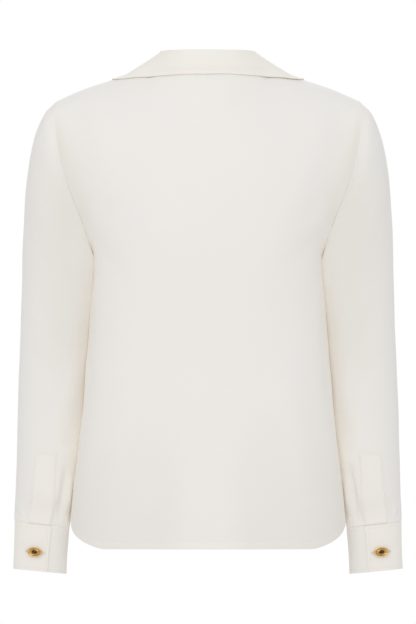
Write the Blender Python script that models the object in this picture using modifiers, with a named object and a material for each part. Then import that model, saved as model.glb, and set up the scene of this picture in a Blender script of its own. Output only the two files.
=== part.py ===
"""A long-sleeve collared blouse in its worn form: hollow, filled out, with no wearer.

Metres, +Z up. The wearer faces -Y, and +X is the wearer's left. The origin is the middle of the
neck opening, just under the back neck seam, where a wearer's neck and shoulders hold the blouse.

Each cloth piece is an open surface, worked out from the tables below, with a Solidify wall on its
inner side. A body panel's surface takes two numbers: `across`, from -1 at the wearer's right to 1
at the left, and `up`, from 0 at the hem through 1 at the underarm to 2 at the neck and shoulder.
"""
import math

import bmesh
import bpy
from mathutils import Matrix, Vector
from mathutils.bvhtree import BVHTree


def table(columns, *rows):
    """Named columns of numbers; the first column rises from row to row."""
    return {name: [row[place] for row in rows] for place, name in enumerate(columns)}


# Cloth
WALL = 0.0012
DOUBLE_WALL = 0.0015
SEAM_GAP = 0.0003
SHOULDER_GAP = 0.0012
LAYER_GAP = 0.0005

# Body: half its width at each height, how far its middle stands behind and before the side seams,
# and how square its section is (2 is an ellipse).
UNDERARM_Z = -0.239
HEM_Z = -0.611
BODY = table(
    ("z", "half_width", "back", "front", "power"),
    (-0.611, 0.1795, 0.1130, 0.1150, 2.5),
    (-0.562, 0.1777, 0.1125, 0.1145, 2.5),
    (-0.506, 0.1717, 0.1095, 0.1115, 2.5),
    (-0.436, 0.1632, 0.1045, 0.1075, 2.5),
    (-0.376, 0.1585, 0.100, 0.105, 2.5),
    (-0.315, 0.1535, 0.102, 0.110, 2.5),
    (-0.239, 0.1490, 0.108, 0.118, 2.4),
)
HEM_RISE = 0.038
HEM_RISE_REACH = 0.42
HEM_RISE_POWER = 1.35

# Shoulders and neck
NECK_POINT = Vector((0.070, 0.0, 0.018))
SHOULDER_TIP = Vector((0.197, 0.0, -0.0305))
SHOULDER_CROWN = 0.0010
SHOULDER_SWELL = 0.0014
BACK_NECK = Vector((0.0, 0.062, 0.008))
V_FOOT = Vector((0.014, -0.113, -0.150))
V_CHEST_POWER = 1.6
FOOT_ACROSS = 0.07
NECK_ACROSS = 0.38
SOFT_NECK = 0.34
SOFT_NECK_Z = 0.0125
SOFT_POWER = 3
ROLL_AT_CENTRE = math.radians(75)
ROLL_AT_SHOULDER = math.radians(86)

# Armhole: its width from the middle at each height, and its depth behind and before
ARMHOLE = table(
    ("z", "x"),
    (-0.2390, 0.1490),
    (-0.2210, 0.1515),
    (-0.1980, 0.1595),
    (-0.1760, 0.1675),
    (-0.1550, 0.1760),
    (-0.1240, 0.1870),
    (-0.0900, 0.1950),
    (-0.0440, 0.1992),
    (-0.0305, 0.1970),
)
ARMHOLE_DEPTH = {"back": 0.054, "front": 0.050}
ARMHOLE_PULL = 1.7

# Sleeve: rings from the armhole (along 0) to the cuff (along 1)
SLEEVE = table(
    ("along", "outer_x", "outer_z", "inner_z", "middle_y", "half_depth"),
    (0.00, 0.1970, -0.0305, -0.2390, 0.0000, 0.0520),
    (0.05, 0.2128, -0.0470, -0.2520, 0.0000, 0.0540),
    (0.12, 0.2267, -0.0830, -0.2720, -0.0035, 0.0535),
    (0.22, 0.2354, -0.1350, -0.3000, -0.0085, 0.0515),
    (0.36, 0.2399, -0.2100, -0.3450, -0.0140, 0.0480),
    (0.52, 0.2418, -0.3100, -0.4050, -0.0175, 0.0445),
    (0.68, 0.2453, -0.4100, -0.4650, -0.0190, 0.0410),
    (0.84, 0.2485, -0.5050, -0.5250, -0.0195, 0.0365),
    (1.00, 0.2515, -0.5766, -0.5846, -0.0210, 0.0300),
)
SLEEVE_PRESS = 0.004
BODY_CLEAR = 0.0010
CAP_ENDS = 0.35

# Cuff: its outer and inner sides at the top and bottom edge, and the turn of its two ends
CUFF_TOP = {"outer": (0.2515, -0.5770), "inner": (0.1782, -0.5850), "y": -0.0210}
CUFF_FOOT = {"outer": (0.2535, -0.6378), "inner": (0.1820, -0.6446), "y": -0.0225}
CUFF_HALF_DEPTH = 0.0255
CUFF_UNDER_END = math.radians(52)
CUFF_OVER_END = math.radians(108 + 360)
CUFF_STEP_FROM = math.radians(200)
CUFF_STEP_TO = math.radians(380)

# Sleeve placket: the turns of its two long edges at its top and at the cuff
PLACKET_TOP_Z = -0.487
PLACKET_FOOT = 0.992
PLACKET_TURNS_TOP = (math.radians(66.6), math.radians(104.8))
PLACKET_TURNS_FOOT = (math.radians(60.4), math.radians(107.4))

# Collar: where its fold and its free edge run, from the back middle (0) past the neck point (1)
# to its front end (2), and how deep its leaf hangs in between
COLLAR = table(
    ("along", "fold_x", "fold_y", "fold_z", "edge_x", "edge_y", "edge_z", "sag"),
    (0.00, 0.0000, 0.0605, 0.0358, 0.0000, 0.0690, 0.0045, 0.0000),
    (0.35, 0.0310, 0.0535, 0.0358, 0.0460, 0.0580, 0.0050, 0.0000),
    (0.70, 0.0532, 0.0300, 0.0351, 0.0850, 0.0310, 0.0020, -0.0004),
    (1.00, 0.0604, 0.0020, 0.0324, 0.1200, 0.0100, -0.0030, -0.0006),
    (1.25, 0.0580, -0.0280, 0.0186, 0.1225, -0.0220, -0.0120, -0.0004),
    (1.50, 0.0485, -0.0720, -0.0210, 0.1150, -0.0650, -0.0500, 0.0000),
    (1.75, 0.0320, -0.1070, -0.0800, 0.1020, -0.0980, -0.1080, 0.0000),
    (2.00, 0.0125, -0.1195, -0.1490, 0.0740, -0.1120, -0.1720, 0.0000),
)
FOLD_RADIUS = 0.0022
COLLAR_INSET = WALL + 3 * SEAM_GAP
COLLAR_CLEAR = WALL + 0.0015

# Front placket and buttons
FRONT_PLACKET_TOP = 1.985
FRONT_PLACKET_FOOT = 0.87
FRONT_BUTTONS = (1.72, 1.08)
BUTTON_GAP = 0.0004
BUTTON_OVAL = 0.62
BUTTON = table(
    ("radius", "height"),
    (0.0000, 0.0030),
    (0.0042, 0.0027),
    (0.0062, 0.0021),
    (0.0082, 0.0036),
    (0.0094, 0.0033),
    (0.0100, 0.0020),
    (0.0096, 0.0006),
    (0.0088, 0.0000),
)
CUFF_BUTTON_TURN = math.radians(76.5)
CUFF_BUTTON_DOWN = 0.59

IVORY = (0.84, 0.81, 0.765, 1.0)
GOLD = (0.83, 0.60, 0.24, 1.0)

# How finely the faceted walls are cut
NECK_COLUMNS = 6
SHOULDER_COLUMNS = 6
LOWER_ROWS = 8
UPPER_ROWS = 9
SLEEVE_SIDES = 20
SLEEVE_RINGS = 15
CUFF_SIDES = 30
CUFF_ROWS = 3
LEAF_STEPS = 5


# ---------------------------------------------------------------- curves

def read(rows, column, key):
    """A smooth curve through one column, at a value of the table's first column."""
    keys = next(iter(rows.values()))
    values = rows[column]
    last = len(keys) - 1
    key = min(max(key, keys[0]), keys[-1])
    place = 0
    while place < last - 1 and keys[place + 1] < key:
        place += 1

    def slope(at):
        before = max(at - 1, 0)
        after = min(at + 1, last)
        return (values[after] - values[before]) / (keys[after] - keys[before])

    span = keys[place + 1] - keys[place]
    part = (key - keys[place]) / span
    rest = 1 - part
    return (values[place] * (1 + 2 * part) * rest * rest
            + slope(place) * span * part * rest * rest
            + values[place + 1] * part * part * (3 - 2 * part)
            - slope(place + 1) * span * part * part * rest)


def mix(first, second, part):
    """The value part of the way from the first to the second."""
    return first * (1 - part) + second * part


def ease(part):
    """0 to 1 with level ends, held beyond them."""
    part = min(max(part, 0.0), 1.0)
    return part * part * (3 - 2 * part)


def quarter(half_width, depth, power, across):
    """A point on a rounded quarter section: the middle at across 0, the side at 1, evenly spaced."""
    steps = 48
    points = []
    for step in range(steps + 1):
        turn = math.pi / 2 * step / steps
        x = half_width * math.sin(turn) ** (2 / power)
        y = depth * math.cos(turn) ** (2 / power)
        points.append((x, y))
    lengths = [0.0]
    for (x0, y0), (x1, y1) in zip(points, points[1:]):
        lengths.append(lengths[-1] + math.hypot(x1 - x0, y1 - y0))
    goal = abs(across) * lengths[-1]
    place = 0
    while place < steps - 1 and lengths[place + 1] < goal:
        place += 1
    part = (goal - lengths[place]) / (lengths[place + 1] - lengths[place])
    (x0, y0), (x1, y1) = points[place:place + 2]
    return mix(x0, x1, part), mix(y0, y1, part)


# ---------------------------------------------------------------- body panels

def ring_point(face, across, z):
    """A point of the body's level ring at a height, on its back or front face."""
    half_width = read(BODY, "half_width", z)
    depth = read(BODY, face, z)
    x, y = quarter(half_width, depth, read(BODY, "power", z), across)
    return Vector((math.copysign(x, across), y if face == "back" else -y, z))


def body_side(y, z):
    """How far the body's side reaches from the middle, at a depth and a height under the armhole."""
    z = min(z, UNDERARM_Z)
    depth = read(BODY, "back" if y > 0 else "front", z)
    power = read(BODY, "power", z)
    inside = max(0.0, 1 - (abs(y) / depth) ** power)
    return read(BODY, "half_width", z) * inside ** (1 / power)


def hem_height(across):
    """The hem is level in the middle and rises in a round corner to the side seam."""
    corner = max(0.0, 1 - (1 - abs(across)) / HEM_RISE_REACH)
    return HEM_Z + HEM_RISE * corner ** HEM_RISE_POWER


def shoulder_line(part):
    """The shoulder seam, from the neck point (0) to the tip (1): hollow first, then full."""
    point = mix(NECK_POINT, SHOULDER_TIP, part)
    point.z += SHOULDER_CROWN * math.sin(math.pi * part) - SHOULDER_SWELL * math.sin(2 * math.pi * part)
    return point


def neck_line(face, part):
    """The neck seam on the wearer's left, from the middle (0) to the neck point (1)."""
    turn = math.pi / 2 * part
    if face == "back":
        drop = BACK_NECK.z + (NECK_POINT.z - BACK_NECK.z) * (1 - math.cos(turn))
        return Vector((NECK_POINT.x * math.sin(turn), BACK_NECK.y * math.cos(turn), drop))
    point = mix(V_FOOT, NECK_POINT, math.sin(turn))
    point.y = V_FOOT.y * math.cos(turn) ** V_CHEST_POWER
    return point


def top_line(face, across):
    """The panel's top edge: the shoulder, the neck and, in front, the level foot of the V."""
    size = abs(across)
    if size >= NECK_ACROSS:
        point = shoulder_line((size - NECK_ACROSS) / (1 - NECK_ACROSS))
    elif face == "back":
        point = neck_line(face, size / NECK_ACROSS)
    elif size >= FOOT_ACROSS:
        point = neck_line(face, (size - FOOT_ACROSS) / (NECK_ACROSS - FOOT_ACROSS))
    else:
        point = Vector((V_FOOT.x * size / FOOT_ACROSS, V_FOOT.y, V_FOOT.z))
    point.x = math.copysign(point.x, across)
    return point


def armhole(face, up):
    """The armhole's edge on the wearer's left, from the underarm (0) to the shoulder tip (1)."""
    turn = math.pi * up
    z = mix(SHOULDER_TIP.z, UNDERARM_Z, (1 + math.cos(turn)) / 2)
    depth = ARMHOLE_DEPTH[face] * math.sin(turn)
    return Vector((read(ARMHOLE, "x", z), depth if face == "back" else -depth, z))


def soft_top(across):
    """The back's top edge with its corners at the neck points smoothed away."""
    return Vector((SHOULDER_TIP.x * across,
                   BACK_NECK.y * math.exp(-(across / SOFT_NECK) ** 2),
                   mix(SOFT_NECK_Z, SHOULDER_TIP.z, across * across)))


def rolled(face, across, up):
    """A column that stands on the underarm's ring and rolls over to the top edge.

    Down the back, the corners of the neck fade out under the top edge.
    """
    foot = ring_point(face, across, UNDERARM_Z)
    head = top_line(face, across)
    if face == "back":
        head = mix(soft_top(across), head, up ** SOFT_POWER)
    full = mix(ROLL_AT_CENTRE, ROLL_AT_SHOULDER, ease(abs(across) / NECK_ACROSS))
    turn = full * up
    rise = math.sin(turn) / math.sin(full)
    out = (math.cos(turn) - math.cos(full)) / (1 - math.cos(full))
    return Vector((mix(foot.x, head.x, rise), mix(head.y, foot.y, out), mix(foot.z, head.z, rise)))


def panel_point(face, across, up):
    """A point on the outer surface of the back or front panel."""
    if up <= 1:
        point = ring_point(face, across, mix(hem_height(across), UNDERARM_Z, up))
    else:
        side = math.copysign(1, across)
        edge = armhole(face, up - 1)
        pull = edge - rolled(face, 1, up - 1)
        pull.x *= side
        point = rolled(face, across, up - 1) + pull * abs(across) ** ARMHOLE_PULL
    gap = mix(SEAM_GAP, SHOULDER_GAP, max(0.0, up - 1))
    point.y += gap / 2 if face == "back" else -gap / 2
    return point


def panel_normal(face, across, up):
    """The outward direction of a panel, from points close around."""
    step = 0.004
    east = min(across + step, 1.0)
    west = max(across - step, -1.0)
    high = min(up + step, 2.0)
    low = max(up - step, 0.0)
    along = panel_point(face, east, up) - panel_point(face, west, up)
    rise = panel_point(face, across, high) - panel_point(face, across, low)
    normal = along.cross(rise).normalized()
    return -normal if face == "back" else normal


# ---------------------------------------------------------------- sleeves and cuffs

def sleeve_point(along, turn):
    """A point on the left sleeve: turn 0 is its outer side, 90 degrees its back, 180 its inner side."""
    ring = {name: read(SLEEVE, name, along) for name in SLEEVE}
    inner_x = read(BODY, "half_width", ring["inner_z"]) - SLEEVE_PRESS * ease(along / 0.12)
    middle_x = (ring["outer_x"] + inner_x) / 2
    middle_z = (ring["outer_z"] + ring["inner_z"]) / 2
    reach_x = (ring["outer_x"] - inner_x) / 2
    reach_z = (ring["outer_z"] - ring["inner_z"]) / 2
    point = Vector((middle_x + reach_x * math.cos(turn),
                    ring["middle_y"] + ring["half_depth"] * math.sin(turn),
                    middle_z + reach_z * math.cos(turn)))
    cap = 1 - ease(along / CAP_ENDS)
    if cap > 0:
        face = "back" if math.sin(turn) >= 0 else "front"
        seam = armhole(face, (1 - abs(math.remainder(turn, 2 * math.pi)) / math.pi))
        plain = mix(SHOULDER_TIP, Vector((ARMHOLE["x"][0], 0, UNDERARM_Z)), (1 - math.cos(turn)) / 2)
        plain.y = SLEEVE["half_depth"][0] * math.sin(turn)
        point += (seam - plain) * cap
    point.x += 2 * SEAM_GAP + SHOULDER_GAP * (1 + math.cos(turn)) / 2
    if point.z < UNDERARM_Z:
        point.x = max(point.x, body_side(point.y, point.z) + BODY_CLEAR * ease(along / 0.05) + SEAM_GAP)
    return point


def sleeve_place(turn, z):
    """How far along the sleeve its surface reaches a height, at one turn."""
    low, high = 0.0, 1.0
    for _ in range(30):
        middle = (low + high) / 2
        if sleeve_point(middle, turn).z > z:
            low = middle
        else:
            high = middle
    return low


def sleeve_normal(along, turn):
    """The outward direction of the left sleeve."""
    step = 0.01
    around = sleeve_point(along, turn + step) - sleeve_point(along, turn - step)
    down = sleeve_point(min(along + step, 1), turn) - sleeve_point(along - step, turn)
    return down.cross(around).normalized()


def cuff_point(down, turn, out=0.0):
    """A point on the left cuff, from its top edge (down 0) to its foot (1), moved outwards."""
    outer = [mix(CUFF_TOP["outer"][place], CUFF_FOOT["outer"][place], down) for place in (0, 1)]
    inner = [mix(CUFF_TOP["inner"][place], CUFF_FOOT["inner"][place], down) for place in (0, 1)]
    reach_x = (outer[0] - inner[0]) / 2 + out
    reach_z = (outer[1] - inner[1]) / 2
    middle_y = mix(CUFF_TOP["y"], CUFF_FOOT["y"], down)
    return Vector(((outer[0] + inner[0]) / 2 + reach_x * math.cos(turn),
                   middle_y + (CUFF_HALF_DEPTH + out) * math.sin(turn),
                   (outer[1] + inner[1]) / 2 + reach_z * math.cos(turn)))


def cuff_layer(turn):
    """How far out the cuff's band runs: the over end lies on the under end."""
    step = (turn - CUFF_STEP_FROM) / (CUFF_STEP_TO - CUFF_STEP_FROM)
    return (DOUBLE_WALL + LAYER_GAP) * (ease(step) - 1)


# ---------------------------------------------------------------- collar

def panels_tree():
    """Both body panels as one surface that the collar is laid on."""
    corners = []
    faces = []
    for face in ("back", "front"):
        rows = [[panel_point(face, -1 + across / 24, 1 + up / 24) for across in range(49)]
                for up in range(25)]
        start = len(corners)
        width = len(rows[0])
        corners += [point for row in rows for point in row]
        for up in range(len(rows) - 1):
            for across in range(width - 1):
                first = start + up * width + across
                ring = (first, first + 1, first + width + 1, first + width)
                faces.append(ring if face == "front" else ring[::-1])
    return BVHTree.FromPolygons(corners, faces)


def laid(point, tree):
    """The point, lifted off the panels where it would come too close to them."""
    seat, normal, _, _ = tree.find_nearest(point)
    height = (point - seat).dot(normal)
    if height < COLLAR_CLEAR and (point - seat).length < 0.03:
        return seat + normal * COLLAR_CLEAR
    return point


def collar_seam(along):
    """Where the collar starts: beside the panel's edge, square to it and clear of its wall."""
    if along <= 1:
        face, part, across = "back", along, NECK_ACROSS * along
    else:
        face, part = "front", 2 - along
        across = mix(FOOT_ACROSS, NECK_ACROSS, part)
    step = 0.02
    run = neck_line(face, min(part + step, 1)) - neck_line(face, max(part - step, 0))
    seam = neck_line(face, part)
    away = panel_normal(face, across, 1.98).cross(run).normalized()
    if away.dot(seam - panel_point(face, across, 1.97)) < 0:
        away = -away
    return seam + away * COLLAR_INSET


def collar_section(along, tree):
    """The collar's outer surface at one station: up the stand, round the fold, down the leaf."""
    seam = collar_seam(along)
    fold = Vector([read(COLLAR, name, along) for name in ("fold_x", "fold_y", "fold_z")])
    edge = Vector([read(COLLAR, name, along) for name in ("edge_x", "edge_y", "edge_z")])
    rise = (fold - seam).normalized()
    out = edge - fold
    out = (out - rise * out.dot(rise)).normalized()
    middle = fold - rise * FOLD_RADIUS
    section = [seam, mix(seam, middle - out * FOLD_RADIUS, 0.5)]
    for turn in (180, 135, 90, 45, 0):
        turn = math.radians(turn)
        section.append(middle + (out * math.cos(turn) + rise * math.sin(turn)) * FOLD_RADIUS)
    leaf = section[-1]
    sag = read(COLLAR, "sag", along)
    for place in range(1, LEAF_STEPS + 1):
        part = place / LEAF_STEPS
        section.append(laid(mix(leaf, edge, part) - out * sag * math.sin(math.pi * part), tree))
    return section


# ---------------------------------------------------------------- making objects

def material(name, colour, metallic, roughness):
    """A plain Principled material."""
    made = bpy.data.materials.new(name)
    made.use_nodes = True
    shader = made.node_tree.nodes["Principled BSDF"]
    shader.inputs["Base Color"].default_value = colour
    shader.inputs["Metallic"].default_value = metallic
    shader.inputs["Roughness"].default_value = roughness
    return made


def sheet(name, rows, wall, closed=False, flip=False):
    """A wall through rows of points: an open surface with Solidify on its inner side."""
    mesh = bpy.data.meshes.new(name)
    shape = bmesh.new()
    corners = [[shape.verts.new(point) for point in row] for row in rows]
    for low, high in zip(corners, corners[1:]):
        count = len(low) if closed else len(low) - 1
        for place in range(count):
            after = (place + 1) % len(low)
            ring = (low[place], low[after], high[after], high[place])
            shape.faces.new(ring[::-1] if flip else ring)
    shape.to_mesh(mesh)
    shape.free()
    mesh.shade_smooth()
    made = bpy.data.objects.new(name, mesh)
    thick = made.modifiers.new("wall", "SOLIDIFY")
    thick.thickness = wall
    thick.offset = -1
    thick.use_even_offset = True
    thick.use_quality_normals = True
    return made


def mirrored(rows, side):
    """The rows for the wearer's left (1), or for the right (-1)."""
    return [[Vector((point.x * side, point.y, point.z)) for point in row] for row in rows]


def spread(first, last, count):
    """Evenly spaced values, both ends included."""
    return [first + (last - first) * place / count for place in range(count + 1)]


def neck_columns():
    """The columns of a body panel that end at the neck, on the wearer's left."""
    return spread(FOOT_ACROSS, NECK_ACROSS, NECK_COLUMNS)


def panel_heights():
    """The rows of a body panel, from the hem to its top edge."""
    return spread(0, 1, LOWER_ROWS) + spread(1, 2, UPPER_ROWS)[1:]


def panel(face):
    """The back or the front, one wall from hem to shoulders."""
    half = neck_columns() + spread(NECK_ACROSS, 1, SHOULDER_COLUMNS)[1:]
    columns = [-across for across in reversed(half)] + [0.0] + half
    rows = [[panel_point(face, across, up) for across in columns] for up in panel_heights()]
    return sheet(face, rows, WALL, flip=face == "back")


def sleeve(name, side):
    """One sleeve, from the armhole to just above the cuff."""
    rows = []
    for along in spread(0, 1, SLEEVE_RINGS):
        turns = [2 * math.pi * place / SLEEVE_SIDES for place in range(SLEEVE_SIDES)]
        rows.append([sleeve_point(along, turn) for turn in turns])
    return sheet(name, mirrored(rows, side), WALL, closed=True, flip=side > 0)


def cuff(name, side):
    """A band whose over end lies on its under end."""
    rows = []
    for down in spread(0, 1, CUFF_ROWS):
        turns = spread(CUFF_UNDER_END, CUFF_OVER_END, CUFF_SIDES)
        rows.append([cuff_point(down, turn, cuff_layer(turn)) for turn in turns])
    return sheet(name, mirrored(rows, side), DOUBLE_WALL, flip=side > 0)


def sleeve_placket(name, side):
    """The strip above the cuff's opening, made from the sleeve's points, moved out."""
    rows = []
    for part in spread(0, 1, 5):
        first = mix(PLACKET_TURNS_TOP[0], PLACKET_TURNS_FOOT[0], part)
        last = mix(PLACKET_TURNS_TOP[1], PLACKET_TURNS_FOOT[1], part)
        row = []
        for turn in spread(first, last, 4):
            along = mix(sleeve_place(turn, PLACKET_TOP_Z), PLACKET_FOOT, part)
            lift = WALL + LAYER_GAP
            row.append(sleeve_point(along, turn) + sleeve_normal(along, turn) * lift)
        rows.append(row)
    return sheet(name, mirrored(rows, side), WALL, flip=side > 0)


def collar():
    """Stand, fold and leaf in one wall, from one front end round the neck to the other.

    Its stations stand on the columns of the panels, and in front also between them.
    """
    tree = panels_tree()
    behind = [across / NECK_ACROSS for across in [0.0] + neck_columns()]
    before = spread(1, 2, 2 * NECK_COLUMNS)[1:]
    half = [collar_section(along, tree) for along in behind + before]
    other = mirrored(half[1:], -1)
    return sheet("collar", other[::-1] + half, WALL, flip=True)


def front_placket():
    """The strip under the V, made from the front's rows of points, moved out."""
    rows = []
    heights = [up for up in panel_heights() if FRONT_PLACKET_FOOT <= up < FRONT_PLACKET_TOP]
    for up in heights + [FRONT_PLACKET_TOP]:
        lift = WALL + LAYER_GAP
        rows.append([panel_point("front", across, up) + panel_normal("front", across, up) * lift
                     for across in spread(-FOOT_ACROSS, FOOT_ACROSS, 2)])
    return sheet("front_placket", rows, WALL)


def button(name, seat, normal, along):
    """A turned disc with a raised rim, drawn out to an oval, its back on the seat."""
    mesh = bpy.data.meshes.new(name)
    shape = bmesh.new()
    outline = list(zip(BUTTON["radius"], BUTTON["height"])) + [(0, 0)]
    profile = [shape.verts.new((radius, 0, height)) for radius, height in outline]
    for first, second in zip(profile, profile[1:]):
        shape.edges.new((first, second))
    shape.to_mesh(mesh)
    shape.free()
    made = bpy.data.objects.new(name, mesh)
    turned = made.modifiers.new("turned", "SCREW")
    turned.steps = 28
    turned.render_steps = 28
    turned.use_merge_vertices = True
    turned.merge_threshold = 0.00005
    turned.use_smooth_shade = True
    across = normal.cross(along).normalized()
    along = across.cross(normal).normalized()
    facing = Matrix((along, across, normal)).transposed().to_4x4()
    made.matrix_world = Matrix.Translation(seat + normal * BUTTON_GAP) @ facing @ Matrix.Diagonal(
        (1.0, BUTTON_OVAL, 1.0, 1.0))
    return made


def cuff_button(name, side):
    """The button on the over end of a cuff."""
    turn = CUFF_BUTTON_TURN + 2 * math.pi
    seat = cuff_point(CUFF_BUTTON_DOWN, turn)
    around = cuff_point(CUFF_BUTTON_DOWN, turn - 0.02) - cuff_point(CUFF_BUTTON_DOWN, turn + 0.02)
    down = cuff_point(CUFF_BUTTON_DOWN - 0.02, turn) - cuff_point(CUFF_BUTTON_DOWN + 0.02, turn)
    normal = down.cross(around).normalized()
    if normal.y < 0:
        normal = -normal
    mirror = Vector((side, 1, 1))
    return button(name, seat * mirror, normal * mirror, around * mirror)


def front_button(name, up):
    """A button on the front placket."""
    normal = panel_normal("front", 0, up)
    seat = panel_point("front", 0, up) + normal * (WALL + LAYER_GAP)
    return button(name, seat, normal, Vector((1, 0, 0)))


def build():
    """Clears the scene and makes the blouse."""
    for old in list(bpy.data.objects):
        bpy.data.objects.remove(old)
    cloth = [panel("back"), panel("front"), collar(), front_placket()]
    hard = [front_button(f"front_button_{place + 1}", up) for place, up in enumerate(FRONT_BUTTONS)]
    for word, side in (("left", 1), ("right", -1)):
        cloth.append(sleeve(f"sleeve_{word}", side))
        cloth.append(cuff(f"cuff_{word}", side))
        cloth.append(sleeve_placket(f"sleeve_placket_{word}", side))
        hard.append(cuff_button(f"cuff_button_{word}", side))
    collection = bpy.data.collections.new("blouse")
    bpy.context.scene.collection.children.link(collection)
    hold = bpy.data.objects.new("neck_hold", None)
    collection.objects.link(hold)
    for made in cloth + hard:
        colour, metallic, roughness = (IVORY, 0.0, 0.75) if made in cloth else (GOLD, 1.0, 0.25)
        made.data.materials.append(material(made.name, colour, metallic, roughness))
        collection.objects.link(made)
        made.parent = hold


build()
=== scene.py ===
"""The looks of a long-sleeve collared blouse, worn and hollow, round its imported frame.

Metres, +Z up. The wearer faces -Y, and +X is the wearer's left. Every cloth piece is a grid of
points on its piece's outer surface, given by the same tables and formulas as its solid. Soft
creases and seam edges are moved in and out along the surface, and Solidify makes the cloth's
thickness. Arrays of points have the shape (rows, columns, 3). Only the widths and depths of
creases and the button's profile are in millimetres.
"""
import math

import bmesh
import bpy
import numpy as np
from mathutils import Matrix, Vector
from mathutils.bvhtree import BVHTree

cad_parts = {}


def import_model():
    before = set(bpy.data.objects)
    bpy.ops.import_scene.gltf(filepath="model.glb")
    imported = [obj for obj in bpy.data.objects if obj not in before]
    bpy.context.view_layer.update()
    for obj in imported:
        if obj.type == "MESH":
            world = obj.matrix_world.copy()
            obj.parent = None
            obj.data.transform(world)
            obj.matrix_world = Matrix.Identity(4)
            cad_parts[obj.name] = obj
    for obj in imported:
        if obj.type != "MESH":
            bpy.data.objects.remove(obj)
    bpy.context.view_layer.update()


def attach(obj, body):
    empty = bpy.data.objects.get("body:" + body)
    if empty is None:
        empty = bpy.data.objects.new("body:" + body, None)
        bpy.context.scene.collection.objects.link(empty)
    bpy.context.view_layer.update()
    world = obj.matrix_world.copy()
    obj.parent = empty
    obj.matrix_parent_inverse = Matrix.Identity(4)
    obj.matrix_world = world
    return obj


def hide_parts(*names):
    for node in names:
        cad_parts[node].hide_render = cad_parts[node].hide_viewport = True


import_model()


def table(columns, *rows):
    """Named columns of numbers; the first column rises from row to row."""
    return {name: np.array([row[place] for row in rows], float) for place, name in enumerate(columns)}


# ---- sizes of the cut

CLOTH = 0.0006
DOUBLE_CLOTH = 0.0011
SEAM_GAP = 0.00002
SHOULDER_GAP = 0.00002

UNDERARM_Z = -0.239
HEM_Z = -0.611
BODY = table(
    ("z", "half_width", "back", "front", "power"),
    (-0.611, 0.1795, 0.113, 0.115, 2.5),
    (-0.562, 0.1777, 0.1125, 0.1145, 2.5),
    (-0.506, 0.1717, 0.1095, 0.1115, 2.5),
    (-0.436, 0.1632, 0.1045, 0.1075, 2.5),
    (-0.376, 0.1585, 0.1, 0.105, 2.5),
    (-0.315, 0.1535, 0.102, 0.11, 2.5),
    (-0.239, 0.149, 0.108, 0.118, 2.4),
)
HEM_RISE = 0.038
HEM_RISE_REACH = 0.42
HEM_RISE_POWER = 1.35

NECK_POINT = np.array((0.070, 0.0, 0.018))
SHOULDER_TIP = np.array((0.197, 0.0, -0.0305))
SHOULDER_CROWN = 0.0010
SHOULDER_SWELL = 0.0014
BACK_NECK = np.array((0.0, 0.062, 0.008))
V_FOOT = np.array((0.014, -0.113, -0.150))
V_CHEST_POWER = 1.6
FOOT_ACROSS = 0.07
NECK_ACROSS = 0.38
SOFT_NECK = 0.34
SOFT_NECK_Z = 0.0125
SOFT_POWER = 8
ROLL_AT_CENTRE = math.radians(75)
ROLL_AT_SHOULDER = math.radians(86)

ARMHOLE = table(
    ("z", "x"),
    (-0.239, 0.149),
    (-0.221, 0.1515),
    (-0.198, 0.1595),
    (-0.176, 0.1675),
    (-0.155, 0.176),
    (-0.124, 0.187),
    (-0.09, 0.195),
    (-0.044, 0.1992),
    (-0.0305, 0.197),
)
ARMHOLE_DEPTH = {"back": 0.054, "front": 0.050}
ARMHOLE_PULL = 1.7
UNDERARM_BLEND = 0.10
BLEND_STEP = 0.01
BLEND_SIDE_POWER = 8

SLEEVE = table(
    ("along", "outer_x", "outer_z", "inner_z", "middle_y", "half_depth"),
    (0, 0.197, -0.0305, -0.239, 0, 0.052),
    (0.05, 0.2128, -0.047, -0.252, 0, 0.054),
    (0.12, 0.2267, -0.083, -0.272, -0.0035, 0.0535),
    (0.22, 0.2354, -0.135, -0.3, -0.0085, 0.0515),
    (0.36, 0.2402, -0.21, -0.345, -0.014, 0.048),
    (0.52, 0.2428, -0.31, -0.405, -0.0175, 0.0445),
    (0.68, 0.2462, -0.41, -0.465, -0.019, 0.041),
    (0.84, 0.2488, -0.505, -0.525, -0.0195, 0.0365),
    (1, 0.2515, -0.5766, -0.5846, -0.021, 0.03),
)
SLEEVE_PRESS = 0.004
PRESS_REACH = 0.04
BODY_CLEAR = -0.0010
CLEAR_REACH = 0.015
CAP_ENDS = 0.35

CUFF_TOP = {"outer": (0.2515, -0.5770), "inner": (0.1782, -0.5850), "y": -0.0210}
CUFF_FOOT = {"outer": (0.2535, -0.6378), "inner": (0.1820, -0.6446), "y": -0.0225}
CUFF_HALF_DEPTH = 0.0255
CUFF_UNDER_END = math.radians(52)
CUFF_OVER_END = math.radians(108 + 360)
CUFF_STEP_FROM = math.radians(200)
CUFF_STEP_TO = math.radians(380)
CUFF_LAYER = 0.0020

PLACKET_TOP_Z = -0.487
PLACKET_FOOT = 0.9995
PLACKET_TURNS_TOP = (math.radians(66.6), math.radians(104.8))
PLACKET_TURNS_FOOT = (math.radians(60.4), math.radians(107.4))
PLACKET_LIFT = 0.0011

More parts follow.
